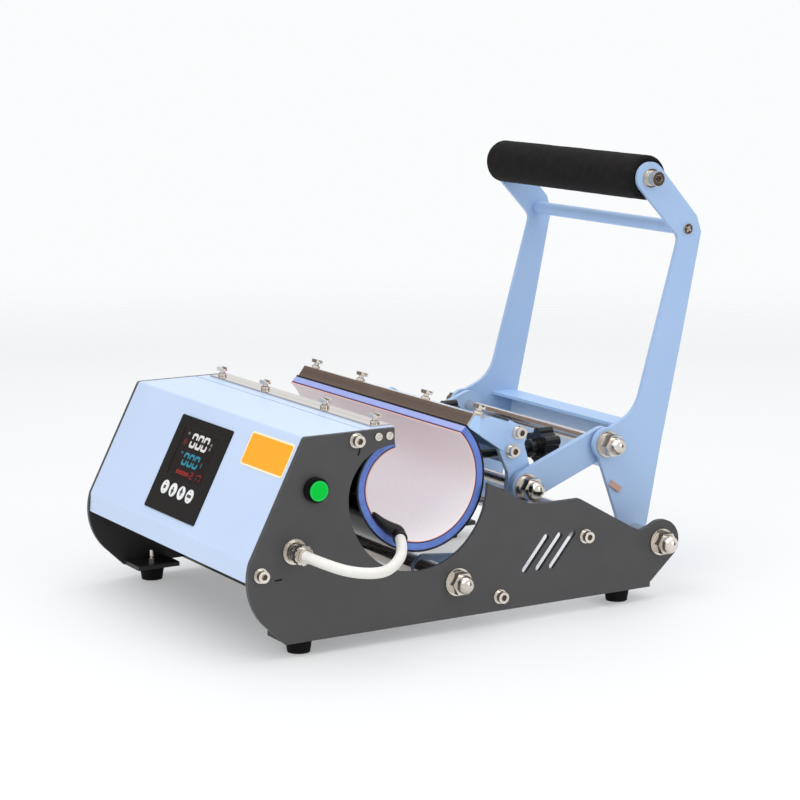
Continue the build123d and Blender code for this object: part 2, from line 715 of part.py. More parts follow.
cable_end_plane = Plane(origin=cable_path.line @ 1, z_dir=cable_path.line % 1)
with BuildPart() as cable_sleeve:
    with BuildSketch(cable_end_plane):
        Circle(SLEEVE_R)
    extrude(amount=6)
    extrude(
        arc_band_face(WRAP_HALF - 32, [(WRAP_C2, WRAP_R2, 208, 236)], -SOFT_GAP - 5.5, -SOFT_GAP),
        amount=38,
    )
    with BuildSketch(cable_end_plane):
        Circle(SLEEVE_R)
        Circle(CABLE_R, mode=Mode.SUBTRACT)
    extrude(amount=-5)
cable_sleeve.part.label = "cable_sleeve"
export_step(cable_sleeve.part, "parts/cable_sleeve.step")


def arm_face(x):
    with BuildSketch(side(x)) as face:
        Polygon(
            (357.2, 361.2), (399.8, 316.9), (354.6, 163.0), (317.4, 147.9), C,
            (313.0, 131.3), (334.7, 72.5), (342.0, 47.6), D, (366.5, 48.5),
            (382.1, 127.1), (405.6, 232.8), (REAR_Y, 320.5), (419.2, 335.0), (378.0, 380.6), GRIP,
            align=None,
        )
        with Locations(GRIP):
            Circle(14.2)
        with Locations(C):
            Circle(14.5)
        with Locations(D):
            Circle(14)
        fillet(face.vertices().sort_by_distance((399.8, 316.9, 0))[0], radius=10)
        fillet(face.vertices().sort_by_distance((354.6, 163.0, 0))[0], radius=34)
        with Locations(GRIP):
            Circle(BOLT_R, mode=Mode.SUBTRACT)
        with Locations(C):
            Circle(PIN_R, mode=Mode.SUBTRACT)
        with Locations(D):
            Circle(SHAFT_R + RUNNING_GAP, mode=Mode.SUBTRACT)
        with Locations(TIE_TUBE):
            Circle(TUBE_SCREW_R, mode=Mode.SUBTRACT)
    return face.sketch


# Handle
BOLT_R = 4.0
TUBE_SCREW_R = 2.5
TUBE_R = 6.0
GRIP_BAR_R = 12.5
GRIP_BORE_R = 10.0
GRIP_R = 20.0
TAB_AT = (332.2, 98.0)
TAB_PROUD = 2.4


def stop_tab_face(x):
    with BuildSketch(side(x)) as face:
        with Locations(Location(TAB_AT, -35)):
            Rectangle(13.0, 5.4)
    return face.sketch


with BuildPart() as handle_arm_right:
    extrude(arm_face(ARM_IN), amount=ARM_T)
    extrude(stop_tab_face(ARM_OUT), amount=TAB_PROUD)
handle_arm_right.part.label = "handle_arm_right"
export_step(handle_arm_right.part, "parts/handle_arm_right.step")

with BuildPart() as handle_arm_left:
    extrude(arm_face(-ARM_OUT), amount=ARM_T)
    extrude(stop_tab_face(-ARM_OUT), amount=-TAB_PROUD)
handle_arm_left.part.label = "handle_arm_left"
export_step(handle_arm_left.part, "parts/handle_arm_left.step")

with BuildPart() as grip_bar:
    extrude(ring(-ARM_IN, GRIP, GRIP_BAR_R, GRIP_BORE_R), amount=2 * ARM_IN)
grip_bar.part.label = "grip_bar"
export_step(grip_bar.part, "parts/grip_bar.step")

with BuildPart() as grip_foam:
    extrude(ring(-ARM_IN + SOFT_GAP, GRIP, GRIP_R, GRIP_BAR_R + SOFT_GAP), amount=2 * (ARM_IN - SOFT_GAP))
grip_foam.part.label = "grip_foam"
export_step(grip_foam.part, "parts/grip_foam.step")

with BuildPart() as tie_tube:
    extrude(disc(-ARM_IN, TIE_TUBE, TUBE_R), amount=2 * ARM_IN)
    for end in (1, -1):
        extrude(disc(end * ARM_IN, TIE_TUBE, TUBE_SCREW_R), amount=-end * 16, mode=Mode.SUBTRACT)
tie_tube.part.label = "tie_tube"
export_step(tie_tube.part, "parts/tie_tube.step")

with BuildPart() as handle_bolts:
    for end in (1, -1):
        seat = end * (ARM_OUT + 3.6)
        extrude(ring(end * ARM_OUT, GRIP, 8.5, BOLT_R), amount=end * 1.6)
        extrude(ring(end * (ARM_OUT + 1.6), GRIP, 6.8, BOLT_R), amount=end * 2)
        extrude(disc(seat, GRIP, 6.5), amount=end * 8)
        extrude(disc(seat, GRIP, BOLT_R), amount=end * (ARM_IN - 20) - seat)
        extrude(disc(end * ARM_IN, GRIP, GRIP_BORE_R), amount=-end * 22)
        extrude(hexagon(seat + end * 8, GRIP, 6), amount=-end * 4, mode=Mode.SUBTRACT)
        extrude(disc(end * ARM_OUT, TIE_TUBE, 4.8), amount=end * 1.6)
        extrude(disc(end * ARM_OUT, TIE_TUBE, TUBE_SCREW_R), amount=end * (ARM_IN - 14 - ARM_OUT))
        extrude(driver_slot(end * (ARM_OUT + 1.6), TIE_TUBE, 5.6, True), amount=-end * 0.9, mode=Mode.SUBTRACT)
handle_bolts.part.label = "handle_bolts"
export_step(handle_bolts.part, "parts/handle_bolts.step")

with BuildPart() as cross_plate:
    extrude(
        strip_face(-ARM_IN, [(356.5, 146.7), (384.5, 146.7), (376.0, 97.0)], 3, bend=4, hand=Side.RIGHT),
        amount=2 * ARM_IN,
    )
cross_plate.part.label = "cross_plate"
export_step(cross_plate.part, "parts/cross_plate.step")

LINK_SHAFT_END = ARM_OUT + 2 * WASHER_T + NUT_BORE
with BuildPart() as link_shaft:
    extrude(disc(-LINK_SHAFT_END, C, PIN_R), amount=2 * LINK_SHAFT_END)
link_shaft.part.label = "link_shaft"
export_step(link_shaft.part, "parts/link_shaft.step")

with BuildPart() as handle_dome_nuts:
    for end in (1, -1):
        seat = end * (ARM_OUT + 2 * WASHER_T)
        extrude(ring(end * ARM_OUT, C, WASHER_R, PIN_R), amount=end * WASHER_T)
        extrude(ring(end * (ARM_OUT + WASHER_T), C, SMALL_WASHER_R, PIN_R), amount=end * WASHER_T)
        extrude(hexagon(seat, C, NUT_AF), amount=end * NUT_HEX)
        extrude(disc(seat, C, NUT_DOME_R), amount=end * (NUT_HEX + NUT_NECK))
        with Locations(at(seat + end * (NUT_HEX + NUT_NECK), C[0], C[1])):
            Sphere(NUT_DOME_R)
        extrude(disc(seat, C, PIN_R), amount=end * (NUT_BORE + 0.5), mode=Mode.SUBTRACT)
handle_dome_nuts.part.label = "handle_dome_nuts"
export_step(handle_dome_nuts.part, "parts/handle_dome_nuts.step")


def link_face(x):
    with BuildSketch(side(x)) as face:
        with Locations(B, C):
            Circle(LINK_HALF)
        make_hull()
        with Locations(B):
            Circle(PIN_R, mode=Mode.SUBTRACT)
        with Locations(C):
            Circle(PIN_R + RUNNING_GAP, mode=Mode.SUBTRACT)
    return face.sketch


# Links and their pins at the jaw end
LINK_HALF = 13.9
with BuildPart() as link_right:
    extrude(link_face(LINK_IN), amount=LINK_T)
link_right.part.label = "link_right"
export_step(link_right.part, "parts/link_right.step")

with BuildPart() as link_left:
    extrude(link_face(-LINK_OUT), amount=LINK_T)
link_left.part.label = "link_left"
export_step(link_left.part, "parts/link_left.step")

PIN_FACE = JAW_OUT + 0.3
with BuildPart() as link_dome_nuts:
    for end in (1, -1):
        seat = end * (LINK_OUT + 2 * WASHER_T)
        extrude(ring(end * PIN_FACE, B, 9, PIN_R), amount=end * (LINK_IN - PIN_FACE))
        extrude(disc(end * PIN_FACE, B, PIN_R), amount=seat + end * NUT_BORE - end * PIN_FACE)
        extrude(ring(end * LINK_OUT, B, WASHER_R, PIN_R), amount=end * WASHER_T)
        extrude(ring(end * (LINK_OUT + WASHER_T), B, SMALL_WASHER_R, PIN_R), amount=end * WASHER_T)
        extrude(hexagon(seat, B, NUT_AF), amount=end * NUT_HEX)
        extrude(disc(seat, B, NUT_DOME_R), amount=end * (NUT_HEX + NUT_NECK))
        with Locations(at(seat + end * (NUT_HEX + NUT_NECK), B[0], B[1])):
            Sphere(NUT_DOME_R)
link_dome_nuts.part.label = "link_dome_nuts"
export_step(link_dome_nuts.part, "parts/link_dome_nuts.step")


def jaw_plate_face(x):
    with BuildSketch(side(x)) as face:
        Polygon(
            NECK_LOW, NECK_HIGH, (250.6, 154.0), (246.3, 142.2), (252.5, 121.7), (256.6, 104.0),
            (252.0, 90.0), (228.0, 58.0), (196.0, 33.0), (146.0, 30.9), A, (147.0, 54.9),
            (178.5, 51.8), (205.0, 60.0), (222.0, 78.0), (231.7, 101.3), (229.2, 119.3),
            align=None,
        )
        with Locations((145.5, 43.0)):
            Circle(12.2)
        with Locations(B):
            Circle(14)
        for corner in ((228.0, 58.0), (196.0, 33.0), (205.0, 60.0), (222.0, 78.0)):
            fillet(face.vertices().sort_by_distance((corner[0], corner[1], 0))[0], radius=20)
        for corner in ((246.3, 142.2), (250.6, 154.0)):
            fillet(face.vertices().sort_by_distance((corner[0], corner[1], 0))[0], radius=4)
        with Locations(A):
            Circle(SHAFT_R + RUNNING_GAP, mode=Mode.SUBTRACT)
        with Locations(B):
            Circle(PIN_R, mode=Mode.SUBTRACT)
        with Locations(*JAW_SCREWS):
            Circle(JAW_SCREW_R, mode=Mode.SUBTRACT)
    return face.sketch


# Jaw plates, rod and screws
with BuildPart() as jaw_plate_right:
    extrude(jaw_plate_face(JAW_IN), amount=JAW_T)
jaw_plate_right.part.label = "jaw_plate_right"
export_step(jaw_plate_right.part, "parts/jaw_plate_right.step")

with BuildPart() as jaw_plate_left:
    extrude(jaw_plate_face(-JAW_OUT), amount=JAW_T)
jaw_plate_left.part.label = "jaw_plate_left"
export_step(jaw_plate_left.part, "parts/jaw_plate_left.step")

with BuildPart() as jaw_cross_rod:
    extrude(disc(-JAW_OUT, B, PIN_R), amount=2 * JAW_OUT)
jaw_cross_rod.part.label = "jaw_cross_rod"
export_step(jaw_cross_rod.part, "parts/jaw_cross_rod.step")

with BuildPart() as jaw_screws:
    for end in (1, -1):
        seat = end * (JAW_OUT + CAP_WASHER_T)
        for centre in JAW_SCREWS:
            extrude(ring(end * JAW_OUT, centre, CAP_WASHER_R, JAW_SCREW_R), amount=end * CAP_WASHER_T)
            extrude(disc(seat, centre, CAP_HEAD_R), amount=end * 5)
            extrude(disc(seat, centre, JAW_SCREW_R), amount=end * (JAW_IN - BACK_T) - seat)
            extrude(hexagon(seat + end * 5, centre, HEX_KEY_AF), amount=-end * 3, mode=Mode.SUBTRACT)
jaw_screws.part.label = "jaw_screws"
export_step(jaw_screws.part, "parts/jaw_screws.step")

# Back plate of the jaw with bosses for the pressure screws
with BuildPart() as jaw_back_plate:
    with Locations(at(0, BACK_WEB_Y + BACK_T / 2, 138.0)):
        Box(2 * JAW_IN, BACK_T, 34)
    for end in (1, -1):
        with BuildSketch(side(end * JAW_IN)):
            Polygon(
                (BACK_WEB_Y + BACK_T, 155.0), (236.5, 158.5), (229.5, 144.5), (228.0, 131.0),
                (BACK_WEB_Y + BACK_T, 131.0), align=None,
            )
        extrude(amount=-end * BACK_T)
        for centre in JAW_SCREWS:
            extrude(disc(end * JAW_IN, centre, JAW_SCREW_R), amount=-end * BACK_T, mode=Mode.SUBTRACT)
        with BuildSketch(Plane(origin=at(end * KNOB_X, BACK_WEB_Y + BACK_T, KNOB_Z), z_dir=(0, 1, 0))):
            RegularPolygon(radius=6.5, side_count=6, major_radius=False)
        extrude(amount=6.5)
        with BuildSketch(Plane(origin=at(end * KNOB_X, BACK_WEB_Y - 1, KNOB_Z), z_dir=(0, 1, 0))):
            Circle(STUD_R + RUNNING_GAP)
        extrude(amount=20, mode=Mode.SUBTRACT)
jaw_back_plate.part.label = "jaw_back_plate"
export_step(jaw_back_plate.part, "parts/jaw_back_plate.step")

# Folded bracket that carries the wrap's rear end
inner_face = shifted(FACE_LOW, (FACE_U[1], -FACE_U[0]), BRACKET_T)
inner_top = shifted(FACE_HIGH, TOP_N, -BRACKET_T)
inner_neck = shifted(NECK_LOW, (-NECK_U[1], NECK_U[0]), BRACKET_T)
REAR_THUMB_SEAT = shifted(FACE_HIGH, TOP_U, 7.5)
with BuildPart() as jaw_bracket:
    with BuildSketch(side(-WRAP_HALF)):
        Polygon(
            FACE_LOW, FACE_HIGH, crossing(FACE_HIGH, TOP_U, NECK_LOW, NECK_U), NECK_LOW, WING_LOW,
            align=None,
        )
    extrude(amount=2 * WRAP_HALF)
    with BuildSketch(Plane.XY):
        with Locations((0, -MID_Y)):
            Polygon(
                (-WRAP_HALF, 150), (WRAP_HALF, 150), (WRAP_HALF, WING_Y), (JAW_OUT, WING_INNER_Y),
                (JAW_OUT, 240), (-JAW_OUT, 240), (-JAW_OUT, WING_INNER_Y), (-WRAP_HALF, WING_Y),
                align=None,
            )
    extrude(amount=250, mode=Mode.INTERSECT)
    with BuildPart(mode=Mode.SUBTRACT):
        with BuildSketch(side(-WRAP_HALF)):
            Polygon(
                crossing(inner_face, FACE_U, (0, 171.3), (1, 0)),
                crossing(inner_face, FACE_U, inner_top, TOP_U),
                crossing(inner_neck, NECK_U, inner_top, TOP_U),
                crossing(inner_neck, NECK_U, (0, 120), (1, 0)),
                (inner_face[0], 120.0),
                align=None,
            )
        extrude(amount=2 * WRAP_HALF)
        with BuildSketch(Plane.XY):
            with Locations((0, -MID_Y)):
                Polygon(
                    (-WRAP_HALF + BRACKET_T, 150), (WRAP_HALF - BRACKET_T, 150),
                    (WRAP_HALF - BRACKET_T, WING_Y - 1), (JAW_IN + 1.6, WING_INNER_Y - 1),
                    (JAW_IN + 1.6, 240), (-JAW_IN - 1.6, 240), (-JAW_IN - 1.6, WING_INNER_Y - 1),
                    (-WRAP_HALF + BRACKET_T, WING_Y - 1),
                    align=None,
                )
        extrude(amount=250, mode=Mode.INTERSECT)
    extrude(disc(-WRAP_HALF, WRAP_C1, SADDLE_OUT_R), amount=2 * WRAP_HALF, mode=Mode.SUBTRACT)
    for thumb_x in REAR_THUMB_XS:
        with BuildSketch(
            Plane(
                origin=at(thumb_x, REAR_THUMB_SEAT[0] - TOP_N[0] * 6, REAR_THUMB_SEAT[1] - TOP_N[1] * 6),
                x_dir=(1, 0, 0),
                z_dir=(0, TOP_N[0], TOP_N[1]),
            )
        ):
            Circle(THUMB_R + RUNNING_GAP)
        extrude(amount=12, mode=Mode.SUBTRACT)
jaw_bracket.part.label = "jaw_bracket"
export_step(jaw_bracket.part, "parts/jaw_bracket.step")

with BuildPart() as rear_clamp_strip:
    extrude(
        strip_face(-STRIP_HALF, [FACE_LOW, FACE_HIGH, shifted(FACE_HIGH, TOP_U, 15)],
                   STRIP_T, hand=Side.LEFT),
        amount=2 * STRIP_HALF,
    )
    extrude(disc(-WRAP_HALF, WRAP_C1, SADDLE_OUT_R + 0.2), amount=2 * WRAP_HALF, mode=Mode.SUBTRACT)
    for thumb_x in REAR_THUMB_XS:
        with BuildSketch(
            Plane(
                origin=at(thumb_x, REAR_THUMB_SEAT[0] - TOP_N[0] * 6, REAR_THUMB_SEAT[1] - TOP_N[1] * 6),
                x_dir=(1, 0, 0),
                z_dir=(0, TOP_N[0], TOP_N[1]),
            )
        ):
            Circle(THUMB_R + RUNNING_GAP)
        extrude(amount=12, mode=Mode.SUBTRACT)
rear_clamp_strip.part.label = "rear_clamp_strip"
export_step(rear_clamp_strip.part, "parts/rear_clamp_strip.step")

# Pressure knobs: star head, hub and screw as one turned-in piece
for name, end in (("right", 1), ("left", -1)):
    with BuildPart() as pressure_knob:
        with BuildSketch(Plane(origin=at(end * KNOB_X, KNOB_FACE_Y, KNOB_Z), z_dir=(0, 1, 0))):
            Circle(14)
            with PolarLocations(13.2, 6):
                Circle(4.8)
        extrude(amount=KNOB_T)
        with BuildSketch(Plane(origin=at(end * KNOB_X, KNOB_FACE_Y, KNOB_Z), z_dir=(0, 1, 0))):
            Circle(8)
        extrude(amount=-9)
        with BuildSketch(Plane(origin=at(end * KNOB_X, KNOB_FACE_Y, KNOB_Z), z_dir=(0, 1, 0))):
            Circle(STUD_R)
        extrude(amount=-(KNOB_FACE_Y - WRAP_C1[0] - SADDLE_OUT_R - 0.5))
    pressure_knob.part.label = f"pressure_knob_{name}"
    export_step(pressure_knob.part, f"parts/pressure_knob_{name}.step")


def thumb_profile():
    with BuildSketch(Plane.XZ) as face:
        Polygon(
            (0, -8.5), (THUMB_R, -8.5), (THUMB_R, 0.1), (THUMB_COLLAR_R, 0.1), (THUMB_COLLAR_R, 2.2),
            (2.4, 3.0), (2.4, 4.6), (THUMB_HEAD_R, 5.0), (THUMB_HEAD_R, 8.0), (0, 8.0),
            align=None,
        )
    return face.sketch


# Thumbscrews, each with a winged head
THUMB_SOLID = revolve(thumb_profile(), Axis.Z) - Pos(0, 0, 8.3) * Rot(0, 0, 0) * Box(12, 3.4, 3)
THUMB_SOLID = THUMB_SOLID - Pos(0, 6.5, 7) * Box(12, 6, 5.5) - Pos(0, -6.5, 7) * Box(12, 6, 5.5)
for index, thumb_x in enumerate(FRONT_THUMB_XS):
    with BuildPart() as front_thumb:
        with Locations(at(thumb_x, FRONT_THUMB_Y, TOP_Z + STRIP_T)):
            add(THUMB_SOLID)
    front_thumb.part.label = f"clamp_screw_front_{index + 1}"
    export_step(front_thumb.part, f"parts/clamp_screw_front_{index + 1}.step")

rear_seat = shifted(REAR_THUMB_SEAT, TOP_N, STRIP_T)
for index, thumb_x in enumerate(REAR_THUMB_XS):
    with BuildPart() as rear_thumb:
        rear_plane = Plane(
            origin=at(thumb_x, rear_seat[0], rear_seat[1]),
            x_dir=(1, 0, 0),
            z_dir=(0, TOP_N[0], TOP_N[1]),
        )
        with Locations(rear_plane.location):
            add(THUMB_SOLID)
    rear_thumb.part.label = f"clamp_screw_rear_{index + 1}"
    export_step(rear_thumb.part, f"parts/clamp_screw_rear_{index + 1}.step")
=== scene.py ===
"""Looks for the tumbler heat press: camera, heater lead, soft pieces, finishes and light.

The helper at() takes millimetres, with y counted from the front feet.
"""

import math

import bmesh
import bpy
from mathutils import Matrix, Vector, noise


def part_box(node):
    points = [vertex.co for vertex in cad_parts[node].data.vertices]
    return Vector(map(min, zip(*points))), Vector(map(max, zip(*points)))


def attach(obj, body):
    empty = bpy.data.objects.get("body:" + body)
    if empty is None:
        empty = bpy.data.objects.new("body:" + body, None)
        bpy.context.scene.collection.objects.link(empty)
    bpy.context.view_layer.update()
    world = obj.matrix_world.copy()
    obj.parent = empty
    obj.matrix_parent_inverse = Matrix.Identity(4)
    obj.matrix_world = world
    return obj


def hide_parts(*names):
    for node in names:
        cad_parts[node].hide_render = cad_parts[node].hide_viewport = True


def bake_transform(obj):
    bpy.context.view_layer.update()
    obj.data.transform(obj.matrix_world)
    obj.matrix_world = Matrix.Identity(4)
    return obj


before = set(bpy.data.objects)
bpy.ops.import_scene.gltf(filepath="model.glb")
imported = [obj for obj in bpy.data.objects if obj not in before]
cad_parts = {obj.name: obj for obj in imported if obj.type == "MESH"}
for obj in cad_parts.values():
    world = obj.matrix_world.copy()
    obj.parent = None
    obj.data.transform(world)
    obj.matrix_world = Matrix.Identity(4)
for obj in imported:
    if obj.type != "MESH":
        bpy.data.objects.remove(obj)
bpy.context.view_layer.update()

MM = 0.001
MID_Y = 184.35


def at(x, y, z):
    return Vector((x * MM, (y - MID_Y) * MM, z * MM))


def add_object(name, data):
    piece = bpy.data.objects.new(name, data)
    bpy.context.scene.collection.objects.link(piece)
    return piece


# Camera, solved from the photograph's perspective
def place_camera():
    data = bpy.data.cameras.new("photo_view")
    data.lens = 108.09
    data.sensor_width = 36.0
    data.clip_start = 0.05
    data.clip_end = 30.0
    camera = add_object("photo_view", data)
    right = Vector((0.51164, 0.85920, -0.00188))
    up = Vector((-0.14872, 0.09071, 0.98471))
    back = Vector((0.84623, -0.50354, 0.17419))
    turned = Matrix((right, up, back)).transposed().to_4x4()
    camera.matrix_world = Matrix.Translation((1.82613, -1.08903, 0.54735)) @ turned
    bpy.context.scene.camera = camera


place_camera()
bpy.context.scene.view_settings.view_transform = "Standard"


# Mesh helpers
def show_mesh(name, bm, *materials):
    """A finished mesh as an object at the origin."""
    mesh = bpy.data.meshes.new(name)
    bm.to_mesh(mesh)
    bm.free()
    for finish in materials:
        mesh.materials.append(finish)
    return add_object(name, mesh)


def smooth_between_creases(bm, degrees=35):
    for face in bm.faces:
        face.smooth = True
    for edge in bm.edges:
        if len(edge.link_faces) == 2:
            edge.smooth = edge.calc_face_angle() < math.radians(degrees)


def tidy(bm):
    bmesh.ops.remove_doubles(bm, verts=bm.verts, dist=1e-6)
    bmesh.ops.recalc_face_normals(bm, faces=bm.faces)


def axes(x_axis, y_axis, z_axis, origin):
    turned = Matrix((x_axis, y_axis, z_axis)).transposed().to_4x4()
    return Matrix.Translation(origin) @ turned


def rounded_edges(piece, width):
    bevel = piece.modifiers.new("rounded_edges", "BEVEL")
    bevel.width = width
    bevel.segments = 2
    bevel.limit_method = "ANGLE"
    bevel.angle_limit = math.radians(40)
    bevel.harden_normals = False


def ring_edges(ring):
    members = set(ring)
    return {e for v in ring for e in v.link_edges if e.other_vert(v) in members}


def loft(rings, sides):
    """Unit circles placed by the matrices in rings, joined, and closed at both ends."""
    bm = bmesh.new()
    made = [
        bmesh.ops.create_circle(bm, cap_ends=False, radius=1.0, segments=sides, matrix=m)["verts"]
        for m in rings
    ]
    for ring, following in zip(made, made[1:]):
        edges = list(ring_edges(ring) | ring_edges(following))
        bmesh.ops.bridge_loops(bm, edges=edges)
    for ring in (made[0], made[-1]):
        bmesh.ops.contextual_create(bm, geom=list(ring_edges(ring)))
    return bm, made


# Heater lead: the route's points are the CAD cable's
LEAD_ROUTE = [
    at(181.0, -13.3, 89.5),
    at(206.5, -13.3, 89.5),
    at(224.5, 3.0, 83.5),
    at(226.0, 30.0, 79.5),
    at(211.0, 52.0, 80.5),
    at(187.0, 74.0, 85.0),
    at(160.0, 86.2, 89.2),
]
LEAD_RADIUS = 0.0045


def line_of(route):
    """Points along the smooth curve whose control points are the route."""
    curve = bpy.data.curves.new("lead_line", "CURVE")
    curve.dimensions = "3D"
    curve.resolution_u = 16
    spline = curve.splines.new("NURBS")
    spline.points.add(len(route) - 1)
    for control, point in zip(spline.points, route):
        control.co = (*point, 1.0)
    spline.order_u = 3
    spline.use_endpoint_u = True
    holder = add_object("lead_line", curve)
    bpy.context.view_layer.update()
    mesh = bpy.data.meshes.new_from_object(holder)
    points = [v.co.copy() for v in mesh.vertices]
    bpy.data.meshes.remove(mesh)
    bpy.data.objects.remove(holder)
    bpy.data.curves.remove(curve)
    return points


def frames_along(points, first_side):
    """The run and a side vector at each point, carried along the line without twist."""
    sides = []
    side = first_side
    for index, point in enumerate(points):
        before = points[max(index - 1, 0)]
        after = points[min(index + 1, len(points) - 1)]
        run = (after - before).normalized()
        side = (side - run * side.dot(run)).normalized()
        sides.append((run, side))
    return sides


def make_lead(finish):
    points = line_of(LEAD_ROUTE)
    rings = []
    for point, (run, side) in zip(points, frames_along(points, Vector((0, 0, 1)))):
        across = run.cross(side)
        rings.append(axes(side * LEAD_RADIUS, across * LEAD_RADIUS, run, point))
    bm, made = loft(rings, 24)
    along, travelled = {}, 0.0
    for index, ring in enumerate(made):
        if index:
            travelled += (points[index] - points[index - 1]).length
        for number, vert in enumerate(ring):
            along[vert] = (number / len(ring), travelled)
    uv = bm.loops.layers.uv.new("along")
    for face in bm.faces:
        turns = [along[loop.vert][0] for loop in face.loops]
        wraps = max(turns) - min(turns) > 0.5
        for loop, turn in zip(face.loops, turns):
            turn = turn + 1.0 if wraps and turn < 0.5 else turn
            loop[uv].uv = (turn, along[loop.vert][1])
    bmesh.ops.recalc_face_normals(bm, faces=bm.faces)
    smooth_between_creases(bm)
    lead = show_mesh("heater_lead", bm, finish)
    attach(lead, "base")
    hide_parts("heater_cable")


# Shader helpers; colours are given as they show, 0 to 255
def srgb(red, green, blue):
    def linear(value):
        value /= 255.0
        return value / 12.92 if value <= 0.04045 else ((value + 0.055) / 1.055) ** 2.4

    return (linear(red), linear(green), linear(blue), 1.0)


BLACK = (0.0, 0.0, 0.0, 1.0)
NUMBER, COLOUR, VECTOR = "NodeSocketFloat", "NodeSocketColor", "NodeSocketVector"


def new_group(name, inputs, outputs):
    """A node group with a vector and named inputs: its tree, what comes in, its end node."""
    tree = bpy.data.node_groups.new(name, "ShaderNodeTree")
    for label, kind, value in [("Vector", VECTOR, None), *inputs]:
        socket = tree.interface.new_socket(name=label, in_out="INPUT", socket_type=kind)
        if value is not None:
            socket.default_value = value
    for label, kind in outputs:
        tree.interface.new_socket(name=label, in_out="OUTPUT", socket_type=kind)
    return tree, tree.nodes.new("NodeGroupInput").outputs, tree.nodes.new("NodeGroupOutput")


def feed(node, values):
    """Puts numbers or links into a node's inputs."""
    for key, value in values.items():
        if isinstance(value, bpy.types.NodeSocket):
            node.id_data.links.new(value, node.inputs[key])
        else:
            node.inputs[key].default_value = value


def put(tree, kind, values=None, **settings):
    """A node with its settings, and with numbers or links in its inputs."""
    node = tree.nodes.new(kind)
    for key, value in settings.items():
        setattr(node, key, value)
    feed(node, values or {})
    return node


def place_group(tree, group, values):
    return put(tree, "ShaderNodeGroup", values, node_tree=group).outputs


def sums(tree, operation, *terms, clamp=False):
    values = dict(enumerate(terms))
    return put(tree, "ShaderNodeMath", values, operation=operation, use_clamp=clamp).outputs[0]


def vector_sums(tree, operation, *terms, output=0):
    values = dict(enumerate(terms))
    return put(tree, "ShaderNodeVectorMath", values, operation=operation).outputs[output]


def part_of(tree, vector, axis):
    return put(tree, "ShaderNodeSeparateXYZ", {0: vector}).outputs[axis]


def between(tree, value, low, high):
    past = sums(tree, "GREATER_THAN", value, low)
    return sums(tree, "MULTIPLY", past, sums(tree, "LESS_THAN", value, high))


def blend_colours(tree, factor, first, second):
    values = {0: factor, 6: first, 7: second}
    return put(tree, "ShaderNodeMix", values, data_type="RGBA").outputs[2]


def ramp(tree, value, low, high):
    values = {"Value": value, "From Min": low, "From Max": high, "To Min": 0.0, "To Max": 1.0}
    node = put(tree, "ShaderNodeMapRange", values, interpolation_type="SMOOTHSTEP")
    return node.outputs["Result"]


def speckle(tree, vector, scale, detail):
    values = {"Vector": vector, "Scale": scale, "Detail": detail}
    return put(tree, "ShaderNodeTexNoise", values).outputs[0]


def off_axis(tree, place, y, z):
    """Distance in metres from the line along X through at(0, y, z)."""
    moved = vector_sums(tree, "SUBTRACT", place, at(0, y, z))
    flat = vector_sums(tree, "MULTIPLY", moved, (0.0, 1.0, 1.0))
    return vector_sums(tree, "LENGTH", flat, output="Value")


# Effects that several finishes share
def build_coat_texture():
    """Powder coat or moulded skin: fine pebble, broad mottle."""
    tree, start, end = new_group(
        "coat_texture",
        [
            ("Pebble", NUMBER, 900.0), ("Mottle", NUMBER, 40.0),
            ("Colour", COLOUR, None), ("Other Colour", COLOUR, None), ("Variation", NUMBER, 0.5),
            ("Roughness", NUMBER, 0.5), ("Roughness Spread", NUMBER, 0.1),
        ],
        [("Colour", COLOUR), ("Roughness", NUMBER), ("Height", NUMBER)],
    )
    fine = speckle(tree, start["Vector"], start["Pebble"], 2.0)
    broad = speckle(tree, start["Vector"], start["Mottle"], 4.0)
    fine_part = sums(tree, "MULTIPLY", sums(tree, "SUBTRACT", fine, 0.5), 1.2)
    broad_part = sums(tree, "MULTIPLY", sums(tree, "SUBTRACT", broad, 0.5), 1.6)
    both = sums(tree, "ADD", fine_part, broad_part)
    share = sums(tree, "MULTIPLY_ADD", both, start["Variation"], 0.5, clamp=True)
    colour = blend_colours(tree, share, start["Colour"], start["Other Colour"])
    rough = sums(
        tree, "MULTIPLY_ADD", both, start["Roughness Spread"], start["Roughness"], clamp=True
    )
    feed(end, {"Colour": colour, "Roughness": rough, "Height": fine})
    return tree


def build_edge_wear_and_light():
    """Along a sheet's edges: a broken mask for edge colour that is partly wear and partly painted
    light, and rounded normals.
    """
    tree, start, end = new_group(
        "edge_wear_and_light",
        [("Radius", NUMBER, 0.0006), ("Strength", NUMBER, 1.0)],
        [("Mask", NUMBER), ("Normal", VECTOR)],
    )
    rounded = put(tree, "ShaderNodeBevel", {"Radius": start["Radius"]}, samples=6).outputs[0]
    flat = put(tree, "ShaderNodeNewGeometry").outputs["Normal"]
    facing = vector_sums(tree, "DOT_PRODUCT", rounded, flat, output="Value")
    corner = ramp(tree, sums(tree, "SUBTRACT", 1.0, facing), 0.01, 0.25)
    kept = ramp(tree, speckle(tree, start["Vector"], 180.0, 3.0), 0.3, 0.7)
    mask = sums(tree, "MULTIPLY", corner, kept)
    mask = sums(tree, "MULTIPLY", mask, start["Strength"], clamp=True)
    feed(end, {"Mask": mask, "Normal": rounded})
    return tree


